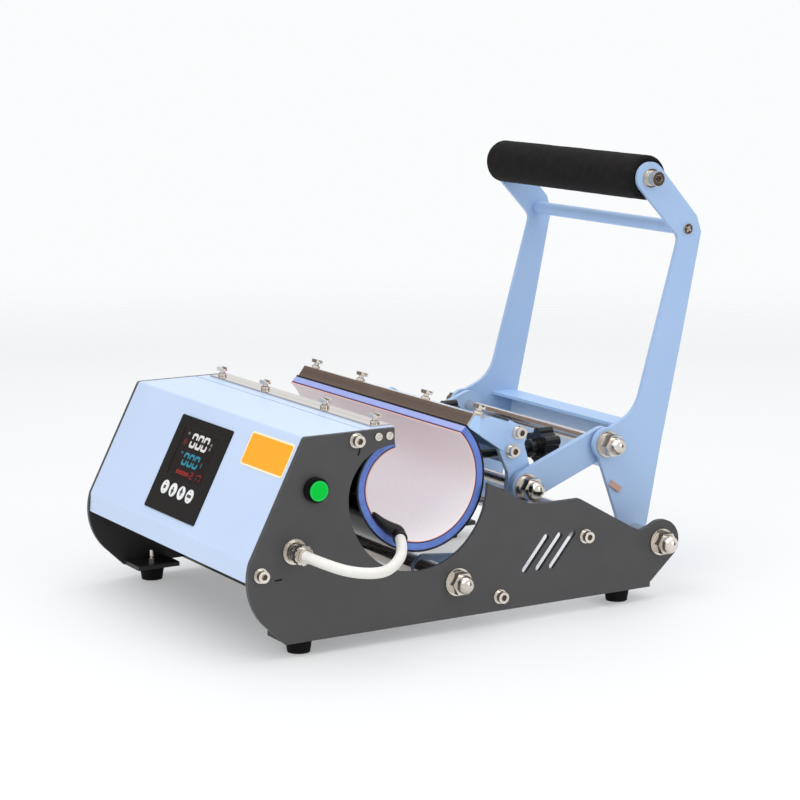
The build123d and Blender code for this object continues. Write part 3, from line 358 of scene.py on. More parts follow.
def build_light_dust():
    """A little dust on what faces up, and finger marks anywhere."""
    tree, start, end = new_group(
        "light_dust",
        [("Amount", NUMBER, 0.2)],
        [("Dust", NUMBER), ("Marks", NUMBER)],
    )
    upward = part_of(tree, put(tree, "ShaderNodeNewGeometry").outputs["Normal"], 2)
    patches = speckle(tree, start["Vector"], 26.0, 5.0)
    specks = speckle(tree, start["Vector"], 700.0, 1.0)
    settled = sums(tree, "MULTIPLY", ramp(tree, upward, 0.2, 1.0), ramp(tree, patches, 0.35, 0.75))
    settled = sums(tree, "MULTIPLY", settled, ramp(tree, specks, 0.45, 0.7))
    dust = sums(tree, "MULTIPLY", settled, start["Amount"], clamp=True)
    marks = sums(tree, "MULTIPLY", ramp(tree, patches, 0.52, 0.68), start["Amount"], clamp=True)
    feed(end, {"Dust": dust, "Marks": marks})
    return tree


def build_metal_lines():
    """Fine lines left by brushing or turning, long along one axis of the vector."""
    tree, start, end = new_group(
        "metal_lines",
        [("Stretch", VECTOR, (20.0, 1500.0, 1500.0))],
        [("Height", NUMBER), ("Streaks", NUMBER)],
    )
    drawn = vector_sums(tree, "MULTIPLY", start["Vector"], start["Stretch"])
    lines = speckle(tree, drawn, 1.0, 3.0)
    streaks = ramp(tree, speckle(tree, drawn, 0.12, 2.0), 0.3, 0.7)
    feed(end, {"Height": lines, "Streaks": streaks})
    return tree


def build_foam_cells():
    """Closed-cell foam: small round pores, with their bottoms painted darker as shade."""
    tree, start, end = new_group(
        "foam_cells",
        [("Cells", NUMBER, 900.0), ("Colour", COLOUR, None), ("Pore Colour", COLOUR, None)],
        [("Colour", COLOUR), ("Height", NUMBER)],
    )
    values = {"Vector": start["Vector"], "Scale": start["Cells"]}
    cells = put(tree, "ShaderNodeTexVoronoi", values).outputs["Distance"]
    soft = speckle(tree, start["Vector"], 120.0, 4.0)
    pore = ramp(tree, cells, 0.1, 0.6)
    height = sums(tree, "MULTIPLY_ADD", soft, 0.8, pore)
    share = sums(tree, "MULTIPLY", pore, ramp(tree, soft, 0.2, 0.8), clamp=True)
    colour = blend_colours(tree, share, start["Pore Colour"], start["Colour"])
    feed(end, {"Colour": colour, "Height": height})
    return tree


def build_cloth_print():
    """The print of a woven cloth in a moulded film, or a braid, from a map of it."""
    threads = ("Threads Across", "Threads Along")
    tree, start, end = new_group(
        "cloth_print",
        [(label, NUMBER, 1400.0) for label in threads],
        [("Height", NUMBER), ("Gaps", NUMBER)],
    )
    waves = [
        sums(tree, "SINE", sums(tree, "MULTIPLY", part_of(tree, start["Vector"], axis), start[label]))
        for axis, label in enumerate(threads)
    ]
    height = sums(tree, "MULTIPLY_ADD", sums(tree, "MULTIPLY", *waves), 0.5, 0.5)
    low = [sums(tree, "SUBTRACT", 1.0, sums(tree, "ABSOLUTE", wave)) for wave in waves]
    feed(end, {"Height": height, "Gaps": sums(tree, "MULTIPLY", *low, clamp=True)})
    return tree


COAT = build_coat_texture()
EDGE_WEAR_AND_LIGHT = build_edge_wear_and_light()
DUST = build_light_dust()
LINES = build_metal_lines()
CELLS = build_foam_cells()
PRINT = build_cloth_print()


# Finishes
def start_material(name, **sockets):
    """A new material, its tree, its shader and its object coordinates."""
    finish = bpy.data.materials.new(name)
    finish.use_nodes = True
    tree = finish.node_tree
    shader = next(n for n in tree.nodes if n.type == "BSDF_PRINCIPLED")
    feed(shader, {key.replace("_", " "): value for key, value in sockets.items()})
    place = put(tree, "ShaderNodeTexCoord").outputs["Object"]
    return finish, tree, shader, place


def bump(tree, shader, height, distance, strength=1.0, normal=None):
    values = {"Height": height, "Distance": distance, "Strength": strength}
    if normal is not None:
        values["Normal"] = normal
    feed(shader, {"Normal": put(tree, "ShaderNodeBump", values).outputs[0]})


def coat_over(tree, place, colour, other, pebble, mottle, variation, roughness, spread):
    values = {
        "Vector": place, "Pebble": pebble, "Mottle": mottle, "Colour": srgb(*colour),
        "Other Colour": srgb(*other), "Variation": variation, "Roughness": roughness,
        "Roughness Spread": spread,
    }
    return place_group(tree, COAT, values)


DUST_COLOUR = (0.7, 0.7, 0.68, 1.0)


def coated(
    name, colour, other, pebble=900.0, mottle=40.0, variation=0.7, roughness=0.5, spread=0.1,
    depth=0.00003, worn=None, rub=0.35, dust=0.0, edge=0.0006, zone=None, zone_front=False,
    **sockets,
):
    """Painted, powder-coated or moulded surface.

    zone: axis, low, high and colour of what lies between two distances from the middle plane.
    zone_front: the zone is only on faces that look to the front.
    """
    finish, tree, shader, place = start_material(name, **sockets)
    coat = coat_over(tree, place, colour, other, pebble, mottle, variation, roughness, spread)
    edges = place_group(tree, EDGE_WEAR_AND_LIGHT, {"Vector": place, "Radius": edge, "Strength": rub})
    base, rough = coat["Colour"], coat["Roughness"]
    # The edge colour is partly wear and partly painted light: a painted highlight on most sheets, a
    # darker edge on the display face.
    if worn is not None:
        base = blend_colours(tree, edges["Mask"], base, srgb(*worn))
    if dust:
        settled = place_group(tree, DUST, {"Vector": place, "Amount": dust})
        base = blend_colours(tree, settled["Dust"], base, DUST_COLOUR)
        rough = sums(tree, "MULTIPLY_ADD", settled["Marks"], 0.3, rough, clamp=True)
    if zone is not None:
        axis, low, high, zone_colour = zone
        within = between(tree, sums(tree, "ABSOLUTE", part_of(tree, place, axis)), low, high)
        if zone_front:
            facing = part_of(tree, put(tree, "ShaderNodeNewGeometry").outputs["Normal"], 1)
            within = sums(tree, "MULTIPLY", within, sums(tree, "LESS_THAN", facing, -0.5))
        base = blend_colours(tree, within, base, srgb(*zone_colour))
    feed(shader, {"Base Color": base, "Roughness": rough})
    bump(tree, shader, coat["Height"], depth, normal=edges["Normal"])
    return finish


# Painted shade in the screws' key recesses
RECESS_PAINTED_SHADE = (142, 128, 116)
BLACK_SEAL = (18, 18, 19)


def metal(
    name, colour, other, roughness=0.12, spread=0.06, stretch=(900.0, 300.0, 300.0),
    depth=0.000002, marks=0.25, black_between=None, recesses=None,
):
    """Bright plated or brushed metal.

    black_between: two places along X, in metres, with black plastic between them.
    recesses: centres, radius, floor and mouth of the key recesses, whose darker colour is painted
    shade, in millimetres.
    """
    finish, tree, shader, place = start_material(name, Metallic=1.0)
    lines = place_group(tree, LINES, {"Vector": place, "Stretch": stretch})
    edges = place_group(tree, EDGE_WEAR_AND_LIGHT, {"Vector": place, "Radius": 0.0004})
    smudge = place_group(tree, DUST, {"Vector": place, "Amount": marks})
    base = blend_colours(tree, lines["Streaks"], srgb(*colour), srgb(*other))
    rough = sums(tree, "MULTIPLY_ADD", lines["Streaks"], spread, roughness)
    rough = sums(tree, "MULTIPLY_ADD", smudge["Marks"], 0.35, rough, clamp=True)
    if black_between is not None:
        black = between(tree, part_of(tree, place, 0), *black_between)
        base = blend_colours(tree, black, base, srgb(*BLACK_SEAL))
        feed(shader, {"Metallic": sums(tree, "SUBTRACT", 1.0, black)})
    # Painted shade: the key recesses are coloured darker.
    if recesses is not None:
        centres, radius, floor, mouth = recesses
        within = 0.0
        for y, z in centres:
            beside = sums(tree, "LESS_THAN", off_axis(tree, place, y, z), radius * MM)
            within = sums(tree, "MAXIMUM", within, beside)
        outward = sums(tree, "ABSOLUTE", part_of(tree, place, 0))
        deep = between(tree, outward, (floor - 0.3) * MM, (mouth - 0.1) * MM)
        within = sums(tree, "MULTIPLY", within, deep)
        base = blend_colours(tree, within, base, srgb(*RECESS_PAINTED_SHADE))
    feed(shader, {"Base Color": base, "Roughness": rough})
    bump(tree, shader, lines["Height"], depth, normal=edges["Normal"])
    return finish


# The power button's axis: y and z in millimetres
BUTTON_AXIS = (6.3, 138.4)


def make_green():
    """Lit green button: brighter in its middle, moulded rings."""
    finish, tree, shader, place = start_material(
        "green_lens_plastic", Roughness=0.4, Specular_IOR_Level=0.08, Emission_Strength=0.5
    )
    radius = off_axis(tree, place, *BUTTON_AXIS)
    rim = ramp(tree, radius, 0.0066, 0.0077)
    outside = ramp(tree, radius, 0.0081, 0.0086)
    rings = sums(tree, "SINE", sums(tree, "MULTIPLY", radius, 9000.0))
    base = blend_colours(tree, rim, srgb(0, 186, 56), srgb(40, 190, 90))
    base = blend_colours(tree, outside, base, srgb(3, 34, 14))
    glow = blend_colours(tree, outside, srgb(0, 104, 32), BLACK)
    feed(shader, {"Base Color": base, "Emission Color": glow})
    bump(tree, shader, rings, 0.00002)
    return finish


def make_film():
    """Inner face of the wrap: pinkish white film with the print of glass cloth."""
    finish, tree, shader, place = start_material("liner_film", Coat_Weight=0.15)
    mapped = put(tree, "ShaderNodeUVMap", uv_map="flat").outputs[0]
    threads = {"Threads Across": 4200.0, "Threads Along": 4200.0}
    cloth = place_group(tree, PRINT, {"Vector": mapped, **threads})
    coat = coat_over(tree, place, (245, 242, 243), (240, 234, 238), 260.0, 9.0, 0.9, 0.42, 0.12)
    gaps = sums(tree, "MULTIPLY", cloth["Gaps"], 0.12)
    base = blend_colours(tree, gaps, coat["Colour"], srgb(190, 160, 170))
    # Painted shade: the film is darker towards its upper part.
    high = sums(tree, "MULTIPLY", ramp(tree, part_of(tree, place, 2), 0.1, 0.145), 0.5)
    base = blend_colours(tree, high, base, srgb(212, 190, 190))
    feed(shader, {"Base Color": base, "Roughness": coat["Roughness"]})
    bump(tree, shader, cloth["Height"], 0.00003, 0.5)
    return finish


def make_foam(name, colour, pore, cells, depth, roughness, **sockets):
    finish, tree, shader, place = start_material(name, Roughness=roughness, **sockets)
    values = {"Vector": place, "Cells": cells, "Colour": srgb(*colour), "Pore Colour": srgb(*pore)}
    foam = place_group(tree, CELLS, values)
    feed(shader, {"Base Color": foam["Colour"]})
    bump(tree, shader, foam["Height"], depth)
    return finish


def make_braid():
    """White silicone sleeving over a braid, from the lead's own map."""
    finish, tree, shader, place = start_material("lead_sleeving")
    mapped = put(tree, "ShaderNodeUVMap", uv_map="along").outputs[0]
    turn = sums(tree, "MULTIPLY", part_of(tree, mapped, 0), math.tau * 12)
    travel = sums(tree, "MULTIPLY", part_of(tree, mapped, 1), 2600.0)
    strands = {0: sums(tree, "ADD", turn, travel), 1: sums(tree, "SUBTRACT", turn, travel)}
    slanted = put(tree, "ShaderNodeCombineXYZ", strands).outputs[0]
    threads = {"Threads Across": 1.0, "Threads Along": 1.0}
    braid = place_group(tree, PRINT, {"Vector": slanted, **threads})
    coat = coat_over(tree, place, (240, 238, 232), (226, 223, 215), 600.0, 70.0, 0.9, 0.5, 0.1)
    gaps = sums(tree, "MULTIPLY", braid["Gaps"], 0.25)
    base = blend_colours(tree, gaps, coat["Colour"], srgb(185, 180, 170))
    feed(shader, {"Base Color": base, "Roughness": coat["Roughness"]})
    bump(tree, shader, braid["Height"], 0.00012, 0.6)
    return finish


def make_lit(name, colour):
    """A lit display segment: its colour fades a little from place to place."""
    finish, tree, shader, place = start_material(name, Base_Color=BLACK, Emission_Strength=1.0)
    values = {
        "Vector": place, "Pebble": 2600.0, "Mottle": 160.0, "Colour": srgb(*colour),
        "Other Colour": tuple(c * 0.72 for c in srgb(*colour)[:3]) + (1.0,), "Variation": 0.8,
        "Roughness": 0.3, "Roughness Spread": 0.1,
    }
    coat = place_group(tree, COAT, values)
    feed(shader, {"Emission Color": coat["Colour"], "Roughness": coat["Roughness"]})
    return finish


BLUE = (159, 187, 223), (165, 192, 227)
PAINT = {
    "pebble": 800.0, "mottle": 14.0, "roughness": 0.38, "depth": 0.00002,
    "worn": (205, 222, 246), "rub": 0.5,
}
PLATED = (222, 215, 206), (206, 198, 188)
BRUSHED = {"spread": 0.05, "stretch": (12.0, 1400.0, 1400.0), "depth": 0.000004}
KEY_SCREWS = {
    "plate_screw_steel": (
        [(45.0, 174.9), (-43.8, 73.3), (185.3, 25.2), (273.8, 67.2)], 3.0, 164.2, 167.2,
    ),
    "jaw_screw_steel": ([(240.3, 153.3), (233.4, 137.4)], 3.0, 107.8, 110.8),
    "handle_bolt_steel": ([(367.4, 371.0)], 3.6, 128.6, 132.6),
}
LIT = {
    "lit_white": (238, 238, 236),
    "lit_cyan": (36, 142, 168),
    "lit_red": (148, 22, 26),
    "dim_red": (96, 20, 24),
    "dim_cyan": (40, 96, 112),
    "dim_grey": (120, 120, 118),
}
FINISH = {
    "dark_plate": coated(
        "dark_plate_coat", (60, 60, 61), (69, 68, 69), pebble=1500.0, mottle=55.0, variation=0.8,
        spread=0.12, depth=0.00006, worn=(150, 150, 152), rub=0.5, dust=0.05, edge=0.0007,
        # Painted shade: the plates' inner faces are darker than their outer faces.
        zone=(0, 0.0, 0.1562, (42, 40, 42)),
    ),
    "pale_panel": coated(
        "pale_panel_coat", (190, 208, 236), (197, 214, 240), pebble=700.0, mottle=12.0,
        roughness=0.36, spread=0.08, depth=0.00002, worn=(232, 240, 252), rub=0.4,
    ),
    "blue_paint": coated("blue_paint_coat", *BLUE, **PAINT),
    "arm_paint": coated("arm_paint_coat", *BLUE, zone=(0, 0.1213, 0.2, (190, 150, 135)), **PAINT),
    # Painted light: a lighter copy of the blue paint for the tie tube and the jaw parts, which lie
    # more in shade.
    "blue_paint_lit_copy": coated(
        "blue_paint_lit_copy_coat", (168, 199, 238), (174, 204, 242), **PAINT | {"worn": (212, 228, 250)}
    ),
    # Painted light: a lighter copy of the blue paint, with the front faces of the web below 143.6 mm
    # lighter still.
    "cross_paint": coated(
        "cross_plate_coat", (162, 194, 234), (168, 199, 238),
        zone=(2, 0.0, 0.1436, (214, 234, 254)), zone_front=True, **PAINT,
    ),
    "black_sheet": coated(
        "gloss_black_sheet", (10, 10, 11), (16, 15, 16), pebble=260.0, mottle=18.0,
        variation=0.6, roughness=0.1, spread=0.06, depth=0.000006, worn=(60, 60, 62),
        rub=0.4, dust=0.04, Specular_IOR_Level=0.3,
    ),
    "bright_strip": metal(
        "polished_strip_steel", (205, 198, 190), (190, 182, 174), roughness=0.07, **BRUSHED
    ),
    # Painted light: the rear strip's steel is a lighter copy of the front strip's, to brighten its
    # reflections.
    "rear_strip": metal(
        "rear_strip_steel", (222, 212, 203), (200, 190, 182), roughness=0.1, **BRUSHED
    ),
    "bright_hardware": metal("plated_hardware", *PLATED),
    **{name: metal(name, *PLATED, recesses=recesses) for name, recesses in KEY_SCREWS.items()},
    "gland_nickel": metal(
        "gland_nickel", (216, 209, 200), (200, 192, 183), roughness=0.14,
        black_between=(0.1645, 0.17),
    ),
    "steel_rod": metal(
        "turned_rod_steel", (238, 228, 220), (231, 221, 213), roughness=0.19, spread=0.02,
        stretch=(1600.0, 90.0, 90.0), depth=0.000001, marks=0.08,
    ),
    "black_rubber": coated(
        "foot_rubber", (14, 14, 15), (21, 20, 20), pebble=1100.0, mottle=90.0, variation=0.6,
        roughness=0.72, spread=0.12, depth=0.00006, dust=0.03, Specular_IOR_Level=0.12,
    ),
    "black_plastic": coated(
        "black_grained_plastic", (7, 7, 8), (13, 12, 13), pebble=1600.0, mottle=60.0,
        variation=0.6, roughness=0.42, Specular_IOR_Level=0.2,
    ),
    "display_face": coated(
        "display_face_film", (24, 23, 22), (30, 28, 27), pebble=2200.0, mottle=26.0,
        roughness=0.42, spread=0.08, depth=0.00001, worn=(8, 8, 9), rub=1.0, edge=0.0012,
        Specular_IOR_Level=0.12,
    ),
    "knob_plastic": coated(
        "gloss_knob_plastic", (12, 12, 13), (20, 19, 20), pebble=420.0, mottle=45.0,
        variation=0.6, roughness=0.2, depth=0.00002,
    ),
    "screen": coated(
        "screen_glass", (17, 15, 16), (24, 20, 21), pebble=1800.0, mottle=30.0, roughness=0.12,
        spread=0.06, depth=0.000004,
    ),
    "white_plastic": coated(
        "white_button_plastic", (238, 238, 236), (228, 229, 230), mottle=120.0, roughness=0.35,
        depth=0.00001,
    ),
    "green_plastic": make_green(),
    "pouch": coated(
        "black_shrink_sleeve", (12, 10, 10), (22, 18, 18), pebble=500.0, mottle=70.0,
        roughness=0.34, spread=0.16, depth=0.00008, Specular_IOR_Level=0.3,
    ),
    "film": make_film(),
    "film_edge": coated(
        "liner_film_edge", (250, 196, 182), (243, 182, 168), pebble=700.0, mottle=80.0
    ),
    "heater_edge": coated(
        "heater_core_rubber", (78, 34, 86), (60, 26, 74), pebble=800.0, mottle=60.0
    ),
    "blue_silicone": make_foam(
        "blue_silicone_sponge", (102, 134, 208), (86, 114, 192), 1300.0, 0.0001, 0.55
    ),
    # The sponge's rear lip face is a lighter blue than its sides.
    "sponge_lip": coated(
        "sponge_lip_lighter_blue", (166, 178, 232), (150, 164, 222), mottle=70.0, roughness=0.55
    ),
    "wrap_skin": coated(
        "wrap_outer_skin", (24, 22, 28), (16, 15, 19), pebble=800.0, mottle=60.0, roughness=0.45
    ),
    "grip": make_foam(
        "grip_foam_rubber", (26, 22, 22), (12, 10, 10), 850.0, 0.00025, 0.85,
        Specular_IOR_Level=0.2,
    ),
    "lead": make_braid(),
    **{name: make_lit(name, colour) for name, colour in LIT.items()},
    "label_amber": coated(
        "amber_label_film", (248, 172, 8), (243, 163, 6), mottle=30.0, roughness=0.4, spread=0.08,
        depth=0.00001,
    ),
    "label_rim": coated(
        "label_rim_film", (252, 240, 208), (248, 232, 196), mottle=30.0, roughness=0.4,
        spread=0.08, depth=0.00001,
    ),
    "mark": coated(
        "printed_mark", (70, 70, 74), (56, 56, 60), mottle=80.0, variation=0.5, roughness=0.4
    ),
}


# Finishes of the CAD nodes
NODE_FINISH = {
    "dark_plate": ["side_plate_right", "side_plate_left"],
    "pale_panel": ["front_panel", "clamp_rail"],
    "blue_paint": ["link_right", "link_left"],
    "blue_paint_lit_copy": [
        "tie_tube", "jaw_plate_right", "jaw_plate_left", "jaw_bracket", "jaw_back_plate",
    ],
    "cross_paint": ["cross_plate"],
    "arm_paint": ["handle_arm_right", "handle_arm_left"],
    "black_sheet": ["front_saddle", "rear_saddle", "housing_shell"],
    "bright_strip": ["front_clamp_strip"],
    "rear_strip": ["rear_clamp_strip"],
    "gland_nickel": ["cable_gland"],
    "bright_hardware": [
        "foot_screws", "base_dome_nuts", "handle_dome_nuts", "link_dome_nuts", "handle_spacers",
        *[f"clamp_screw_{end}_{n}" for end in ("front", "rear") for n in (1, 2, 3, 4)],
    ],
    "plate_screw_steel": ["plate_screws"],
    "jaw_screw_steel": ["jaw_screws"],
    "handle_bolt_steel": ["handle_bolts"],
    "steel_rod": [
        "tie_bars", "jaw_shaft", "handle_shaft", "link_shaft", "jaw_cross_rod", "grip_bar",
    ],
    "black_rubber": ["feet"],
    "black_plastic": ["power_button_body", "power_inlet"],
    "display_face": ["display_frame"],
    "screen": ["display_screen"],
    "knob_plastic": ["pressure_knob_right", "pressure_knob_left"],
    "green_plastic": ["power_button_cap"],
    "white_plastic": [f"display_button_{n}" for n in (1, 2, 3, 4)],
}


def finish_nodes():
    for finish, names in NODE_FINISH.items():
        for name in names:
            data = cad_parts[name].data
            data.materials.clear()
            data.materials.append(FINISH[finish])


finish_nodes()
make_lead(FINISH["lead"])


# Heater wrap: each arc's centre, inner radius, first and last angle from the rear upwards
ARCS = [
    (at(0, 93.87, 129.0), 33.18 * MM, 98.5, 200.0),
    (at(0, 115.51, 136.88), 56.21 * MM, 200.0, 260.0),
    (at(0, 114.67, 132.1), 51.36 * MM, 260.0, 405.0),
]
WRAP_HALF = 0.150


def around(centre, radius, degrees):
    turn = math.radians(degrees)
    return centre + Vector((0, math.cos(turn), math.sin(turn))) * radius


def run_along(point):
    """Distance along the wrap's inner face, from its front end."""
    travelled = 0.0
    best = None
    for centre, radius, first, last in ARCS:
        arm = point - centre
        turn = math.degrees(math.atan2(arm.z, arm.y)) % 360.0
        for candidate in (turn, turn + 360.0):
            inside = min(max(candidate, first), last)
            off = abs(candidate - inside) + abs(Vector((0, arm.y, arm.z)).length - radius) / MM * 0.2
            if best is None or off < best[0] - 1e-6:
                best = (off, travelled + math.radians(inside - first) * radius)
        travelled += math.radians(last - first) * radius
    return best[1]


def wrap_layer(
    name, inner, outer, half_width, finish, arcs=ARCS, side_finish=None, lip_finish=None
):
    """One layer of the wrap: a strip spun round its arcs, with its own sides and rear lip.

    inner and outer are its faces' distances out of the wrap's inner face, in metres.
    """
    bm = bmesh.new()
    centre, radius, first, _ = arcs[0]
    outward = around(Vector(), 1.0, first)
    middle = centre + outward * (radius + (inner + outer) / 2)
    strip = axes(
        Vector((2 * half_width, 0, 0)), outward * (outer - inner), Vector((0, -outward.z, outward.y)),
        middle,
    )
    bmesh.ops.create_grid(bm, x_segments=24, y_segments=1, size=0.5, matrix=strip)
    geometry = bm.verts[:] + bm.edges[:] + bm.faces[:]
    for centre, radius, first, last in arcs:
        made = bmesh.ops.spin(
            bm, geom=geometry, cent=centre, axis=(1, 0, 0), dvec=(0, 0, 0),
            angle=math.radians(last - first), steps=round((last - first) / 2.5),
            use_duplicate=False,
        )
        geometry = made["geom_last"]
    tidy(bm)
    uv = bm.loops.layers.uv.new("flat")
    for face in bm.faces:
        for loop in face.loops:
            loop[uv].uv = (loop.vert.co.x, run_along(loop.vert.co))
    smooth_between_creases(bm, 50)
    centre, radius, _, last = arcs[-1]
    lip = around(centre, radius + (inner + outer) / 2, last)
    for face in bm.faces:
        off_lip = face.calc_center_median() - lip
        if abs(face.normal.x) > 0.9:
            face.material_index = 1
        elif math.hypot(off_lip.y, off_lip.z) < 0.0002:
            face.material_index = 2
    layer = show_mesh(name, bm, finish, side_finish or finish, lip_finish or finish)
    rounded_edges(layer, min(0.0005, (outer - inner) * 0.35))
    return layer


def make_wrap():
    foam = wrap_layer(
        "wrap_sponge", 0.0021, 0.0080, WRAP_HALF, FINISH["blue_silicone"],
        lip_finish=FINISH["sponge_lip"],
    )
    core = wrap_layer(
        "wrap_heater_core", 0.0011, 0.0021, WRAP_HALF - 0.0001, FINISH["heater_edge"]
    )
    film = wrap_layer(
        "wrap_liner_film", 0.0, 0.0011, WRAP_HALF, FINISH["film"],
        side_finish=FINISH["film_edge"], lip_finish=FINISH["film_edge"],
    )
    # The black skin and the black strip over the flex zone make the dark line round the wrap's bottom:
    # partly the wrap's black skin, partly painted shadow between wrap and saddles.
    skin = wrap_layer(
        "wrap_outer_skin", 0.0080, 0.0084, WRAP_HALF - 0.0003, FINISH["wrap_skin"]
    )
    centre, radius, _, _ = ARCS[2]
    skin_and_shadow_strip = wrap_layer(
        "wrap_skin_and_shadow_strip", 0.0085, 0.0097, WRAP_HALF, FINISH["wrap_skin"],
        arcs=[(centre, radius, 262.5, 299.5)],
    )
    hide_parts("wrap_front", "wrap_flex", "wrap_rear")
    for layer in (foam, core, film, skin, skin_and_shadow_strip):
        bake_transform(layer)


make_wrap()


# Foam grip
def make_grip():
    low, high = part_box("grip_foam")
    centre_y, centre_z = (low.y + high.y) / 2, (low.z + high.z) / 2
    outer = (high.z - low.z) / 2
    bore = 0.0128
    bm = bmesh.new()
    corners = [
        bm.verts.new((x, centre_y, centre_z + radius))
        for x, radius in ((low.x, bore), (low.x, outer), (high.x, outer), (high.x, bore))
    ]
    edges = [bm.edges.new(pair) for pair in zip(corners, corners[1:] + corners[:1])]
    bmesh.ops.bevel(
        bm, geom=corners[1:3], offset=0.0028, offset_type="OFFSET", segments=5, profile=0.5,
        affect="VERTICES", material=-1,
    )
    long_edges = [e for e in bm.edges if e.calc_length() > 0.1]
    bmesh.ops.subdivide_edges(bm, edges=long_edges, cuts=70)
    bmesh.ops.spin(
        bm, geom=bm.verts[:] + bm.edges[:], cent=(0, centre_y, centre_z), axis=(1, 0, 0),
        dvec=(0, 0, 0), angle=math.tau, steps=96, use_merge=True, use_duplicate=False,
    )
    tidy(bm)
    for vert in bm.verts:
        arm = Vector((0, vert.co.y - centre_y, vert.co.z - centre_z))
        if arm.length > bore + 0.002:
            dent = noise.noise(vert.co * 60.0) * 0.00018 + noise.noise(vert.co * 420.0) * 0.00012
            vert.co += arm.normalized() * (dent - 0.0002)
    for face in bm.faces:
        face.smooth = True
    grip = show_mesh("grip_foam_sleeve", bm, FINISH["grip"])
    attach(grip, "handle")
    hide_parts("grip_foam")


make_grip()


# Black sleeve on the wrap's inner face, round the lead's end
def make_pouch():
    """Its path gives x, degrees round the wrap, half the thickness and half the width."""
    centre, radius = ARCS[1][:2]
    mouth = LEAD_ROUTE[-1]
    run = (LEAD_ROUTE[-2] - mouth).normalized()
    side = (Vector((0, 0, 1)) - run * run.z).normalized()
    across = run.cross(side)
    mouth_radius = 0.0062
    rings = [
        axes(side * mouth_radius * grow, across * mouth_radius * grow, run, mouth + run * out)
        for grow, out in ((0.80, 0.0044), (1.0, 0.0048), (1.03, 0.0035), (0.99, 0.001))
    ]
    path = [
        (156.0, 236.6, 6.0, 6.6),
        (154.6, 233.2, 5.4, 7.2),
        (152.6, 229.2, 4.9, 7.4),
        (151.2, 225.0, 4.4, 7.4),
        (150.4, 220.5, 3.8, 7.0),
        (150.0, 216.0, 3.2, 6.2),
        (150.0, 212.0, 2.6, 5.0),
        (150.2, 208.4, 1.9, 3.6),
    ]
    places = [
        around(centre, radius + 0.0018 - half_thick * MM, degrees) + Vector((x * MM, 0, 0))
        for x, degrees, half_thick, _ in path
    ]
    for index, (x, degrees, half_thick, half_wide) in enumerate(path):
        thin = around(Vector(), 1.0, degrees)
        before = places[index - 1] if index else mouth
        after = places[min(index + 1, len(places) - 1)]
        ahead = (before - after).normalized()
        wide = ahead.cross(thin).normalized()
        thin = wide.cross(ahead).normalized()
        rings.append(axes(thin * half_thick * MM, wide * half_wide * MM, ahead, places[index]))
    bm, _ = loft(rings, 20)
    bmesh.ops.recalc_face_normals(bm, faces=bm.faces)
    for face in bm.faces:
        face.smooth = True
    pouch = show_mesh("lead_sleeve", bm, FINISH["pouch"])
    rounder = pouch.modifiers.new("rounder", "SUBSURF")
    rounder.levels = rounder.render_levels = 2
    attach(pouch, "base")
    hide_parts("cable_sleeve")


make_pouch()

# Panel slope: x across, y up the slope, z out of it
PANEL_FOOT = at(0, -53.0, 83.8)
PANEL_EDGE = at(0, -2.6, 182.0)
UP_SLOPE = (PANEL_EDGE - PANEL_FOOT).normalized()
OUT_OF_SLOPE = Vector((0, -UP_SLOPE.z, UP_SLOPE.y))
SLOPE = axes(Vector((1, 0, 0)), UP_SLOPE, OUT_OF_SLOPE, PANEL_FOOT)


def face_of(node):
    """How far a node's outermost face stands out of the slope."""
    return max((v.co - PANEL_FOOT).dot(OUT_OF_SLOPE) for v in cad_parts[node].data.vertices)


# Marks start just off the face below them
PROUD = 0.00002
ON_SCREEN = face_of("display_screen") + PROUD
SCREEN_MARK_HEIGHT = 0.0001


def raise_faces(bm, verts, height):
    """Gives the flat faces at these corners a height; the raised faces."""
    faces = list({f for v in verts for f in v.link_faces})
    raised = bmesh.ops.extrude_face_region(bm, geom=faces, use_keep_orig=True)["geom"]
    top = [g for g in raised if isinstance(g, bmesh.types.BMVert)]
    bmesh.ops.translate(bm, vec=(0, 0, height), verts=top)
    return [g for g in raised if isinstance(g, bmesh.types.BMFace)]


def plate_on_slope(bm, low, high, bottom, thick, corner=0.0):
    """A thin plate between two corners on the slope, in metres; its top faces."""
    half_wide, half_high = (high[0] - low[0]) / 2, (high[1] - low[1]) / 2
    middle = Matrix.Translation((low[0] + half_wide, low[1] + half_high, bottom))
    if corner:
        turned = Matrix.Rotation(math.pi / 32, 4, "Z")
        made = bmesh.ops.create_circle(
            bm, cap_ends=True, radius=corner, segments=32, matrix=turned
        )["verts"]
        for vert in made:
            vert.co.x += math.copysign(half_wide - corner, vert.co.x)
            vert.co.y += math.copysign(half_high - corner, vert.co.y)
        bmesh.ops.transform(bm, matrix=middle, verts=made)
    else:
        size = Matrix.Diagonal((2 * half_wide, 2 * half_high, 1, 1))
        made = bmesh.ops.create_grid(
            bm, x_segments=1, y_segments=1, size=0.5, matrix=middle @ size
        )["verts"]
    return raise_faces(bm, made, thick)


def finish_on_slope(name, bm, body, *finishes):
    bmesh.ops.recalc_face_normals(bm, faces=bm.faces)
    bmesh.ops.transform(bm, matrix=SLOPE, verts=bm.verts)
    piece = show_mesh(name, bm, *finishes)
    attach(piece, body)
    return piece


def make_label():
    """A plain amber label with a pale rim."""
    bm = bmesh.new()
    top = plate_on_slope(bm, (0.078, 0.0725), (0.1525, 0.1025), 0.00003, 0.00018, corner=0.0038)
    rim = bmesh.ops.inset_region(bm, faces=top, thickness=0.0017, depth=0.0)
    for face in bm.faces:
        face.material_index = 1
    for face in top:
        face.material_index = 0
    for face in rim["faces"]:
        face.material_index = 1
    label = finish_on_slope(
        "plain_amber_label", bm, "base", FINISH["label_amber"], FINISH["label_rim"]
    )


make_label()

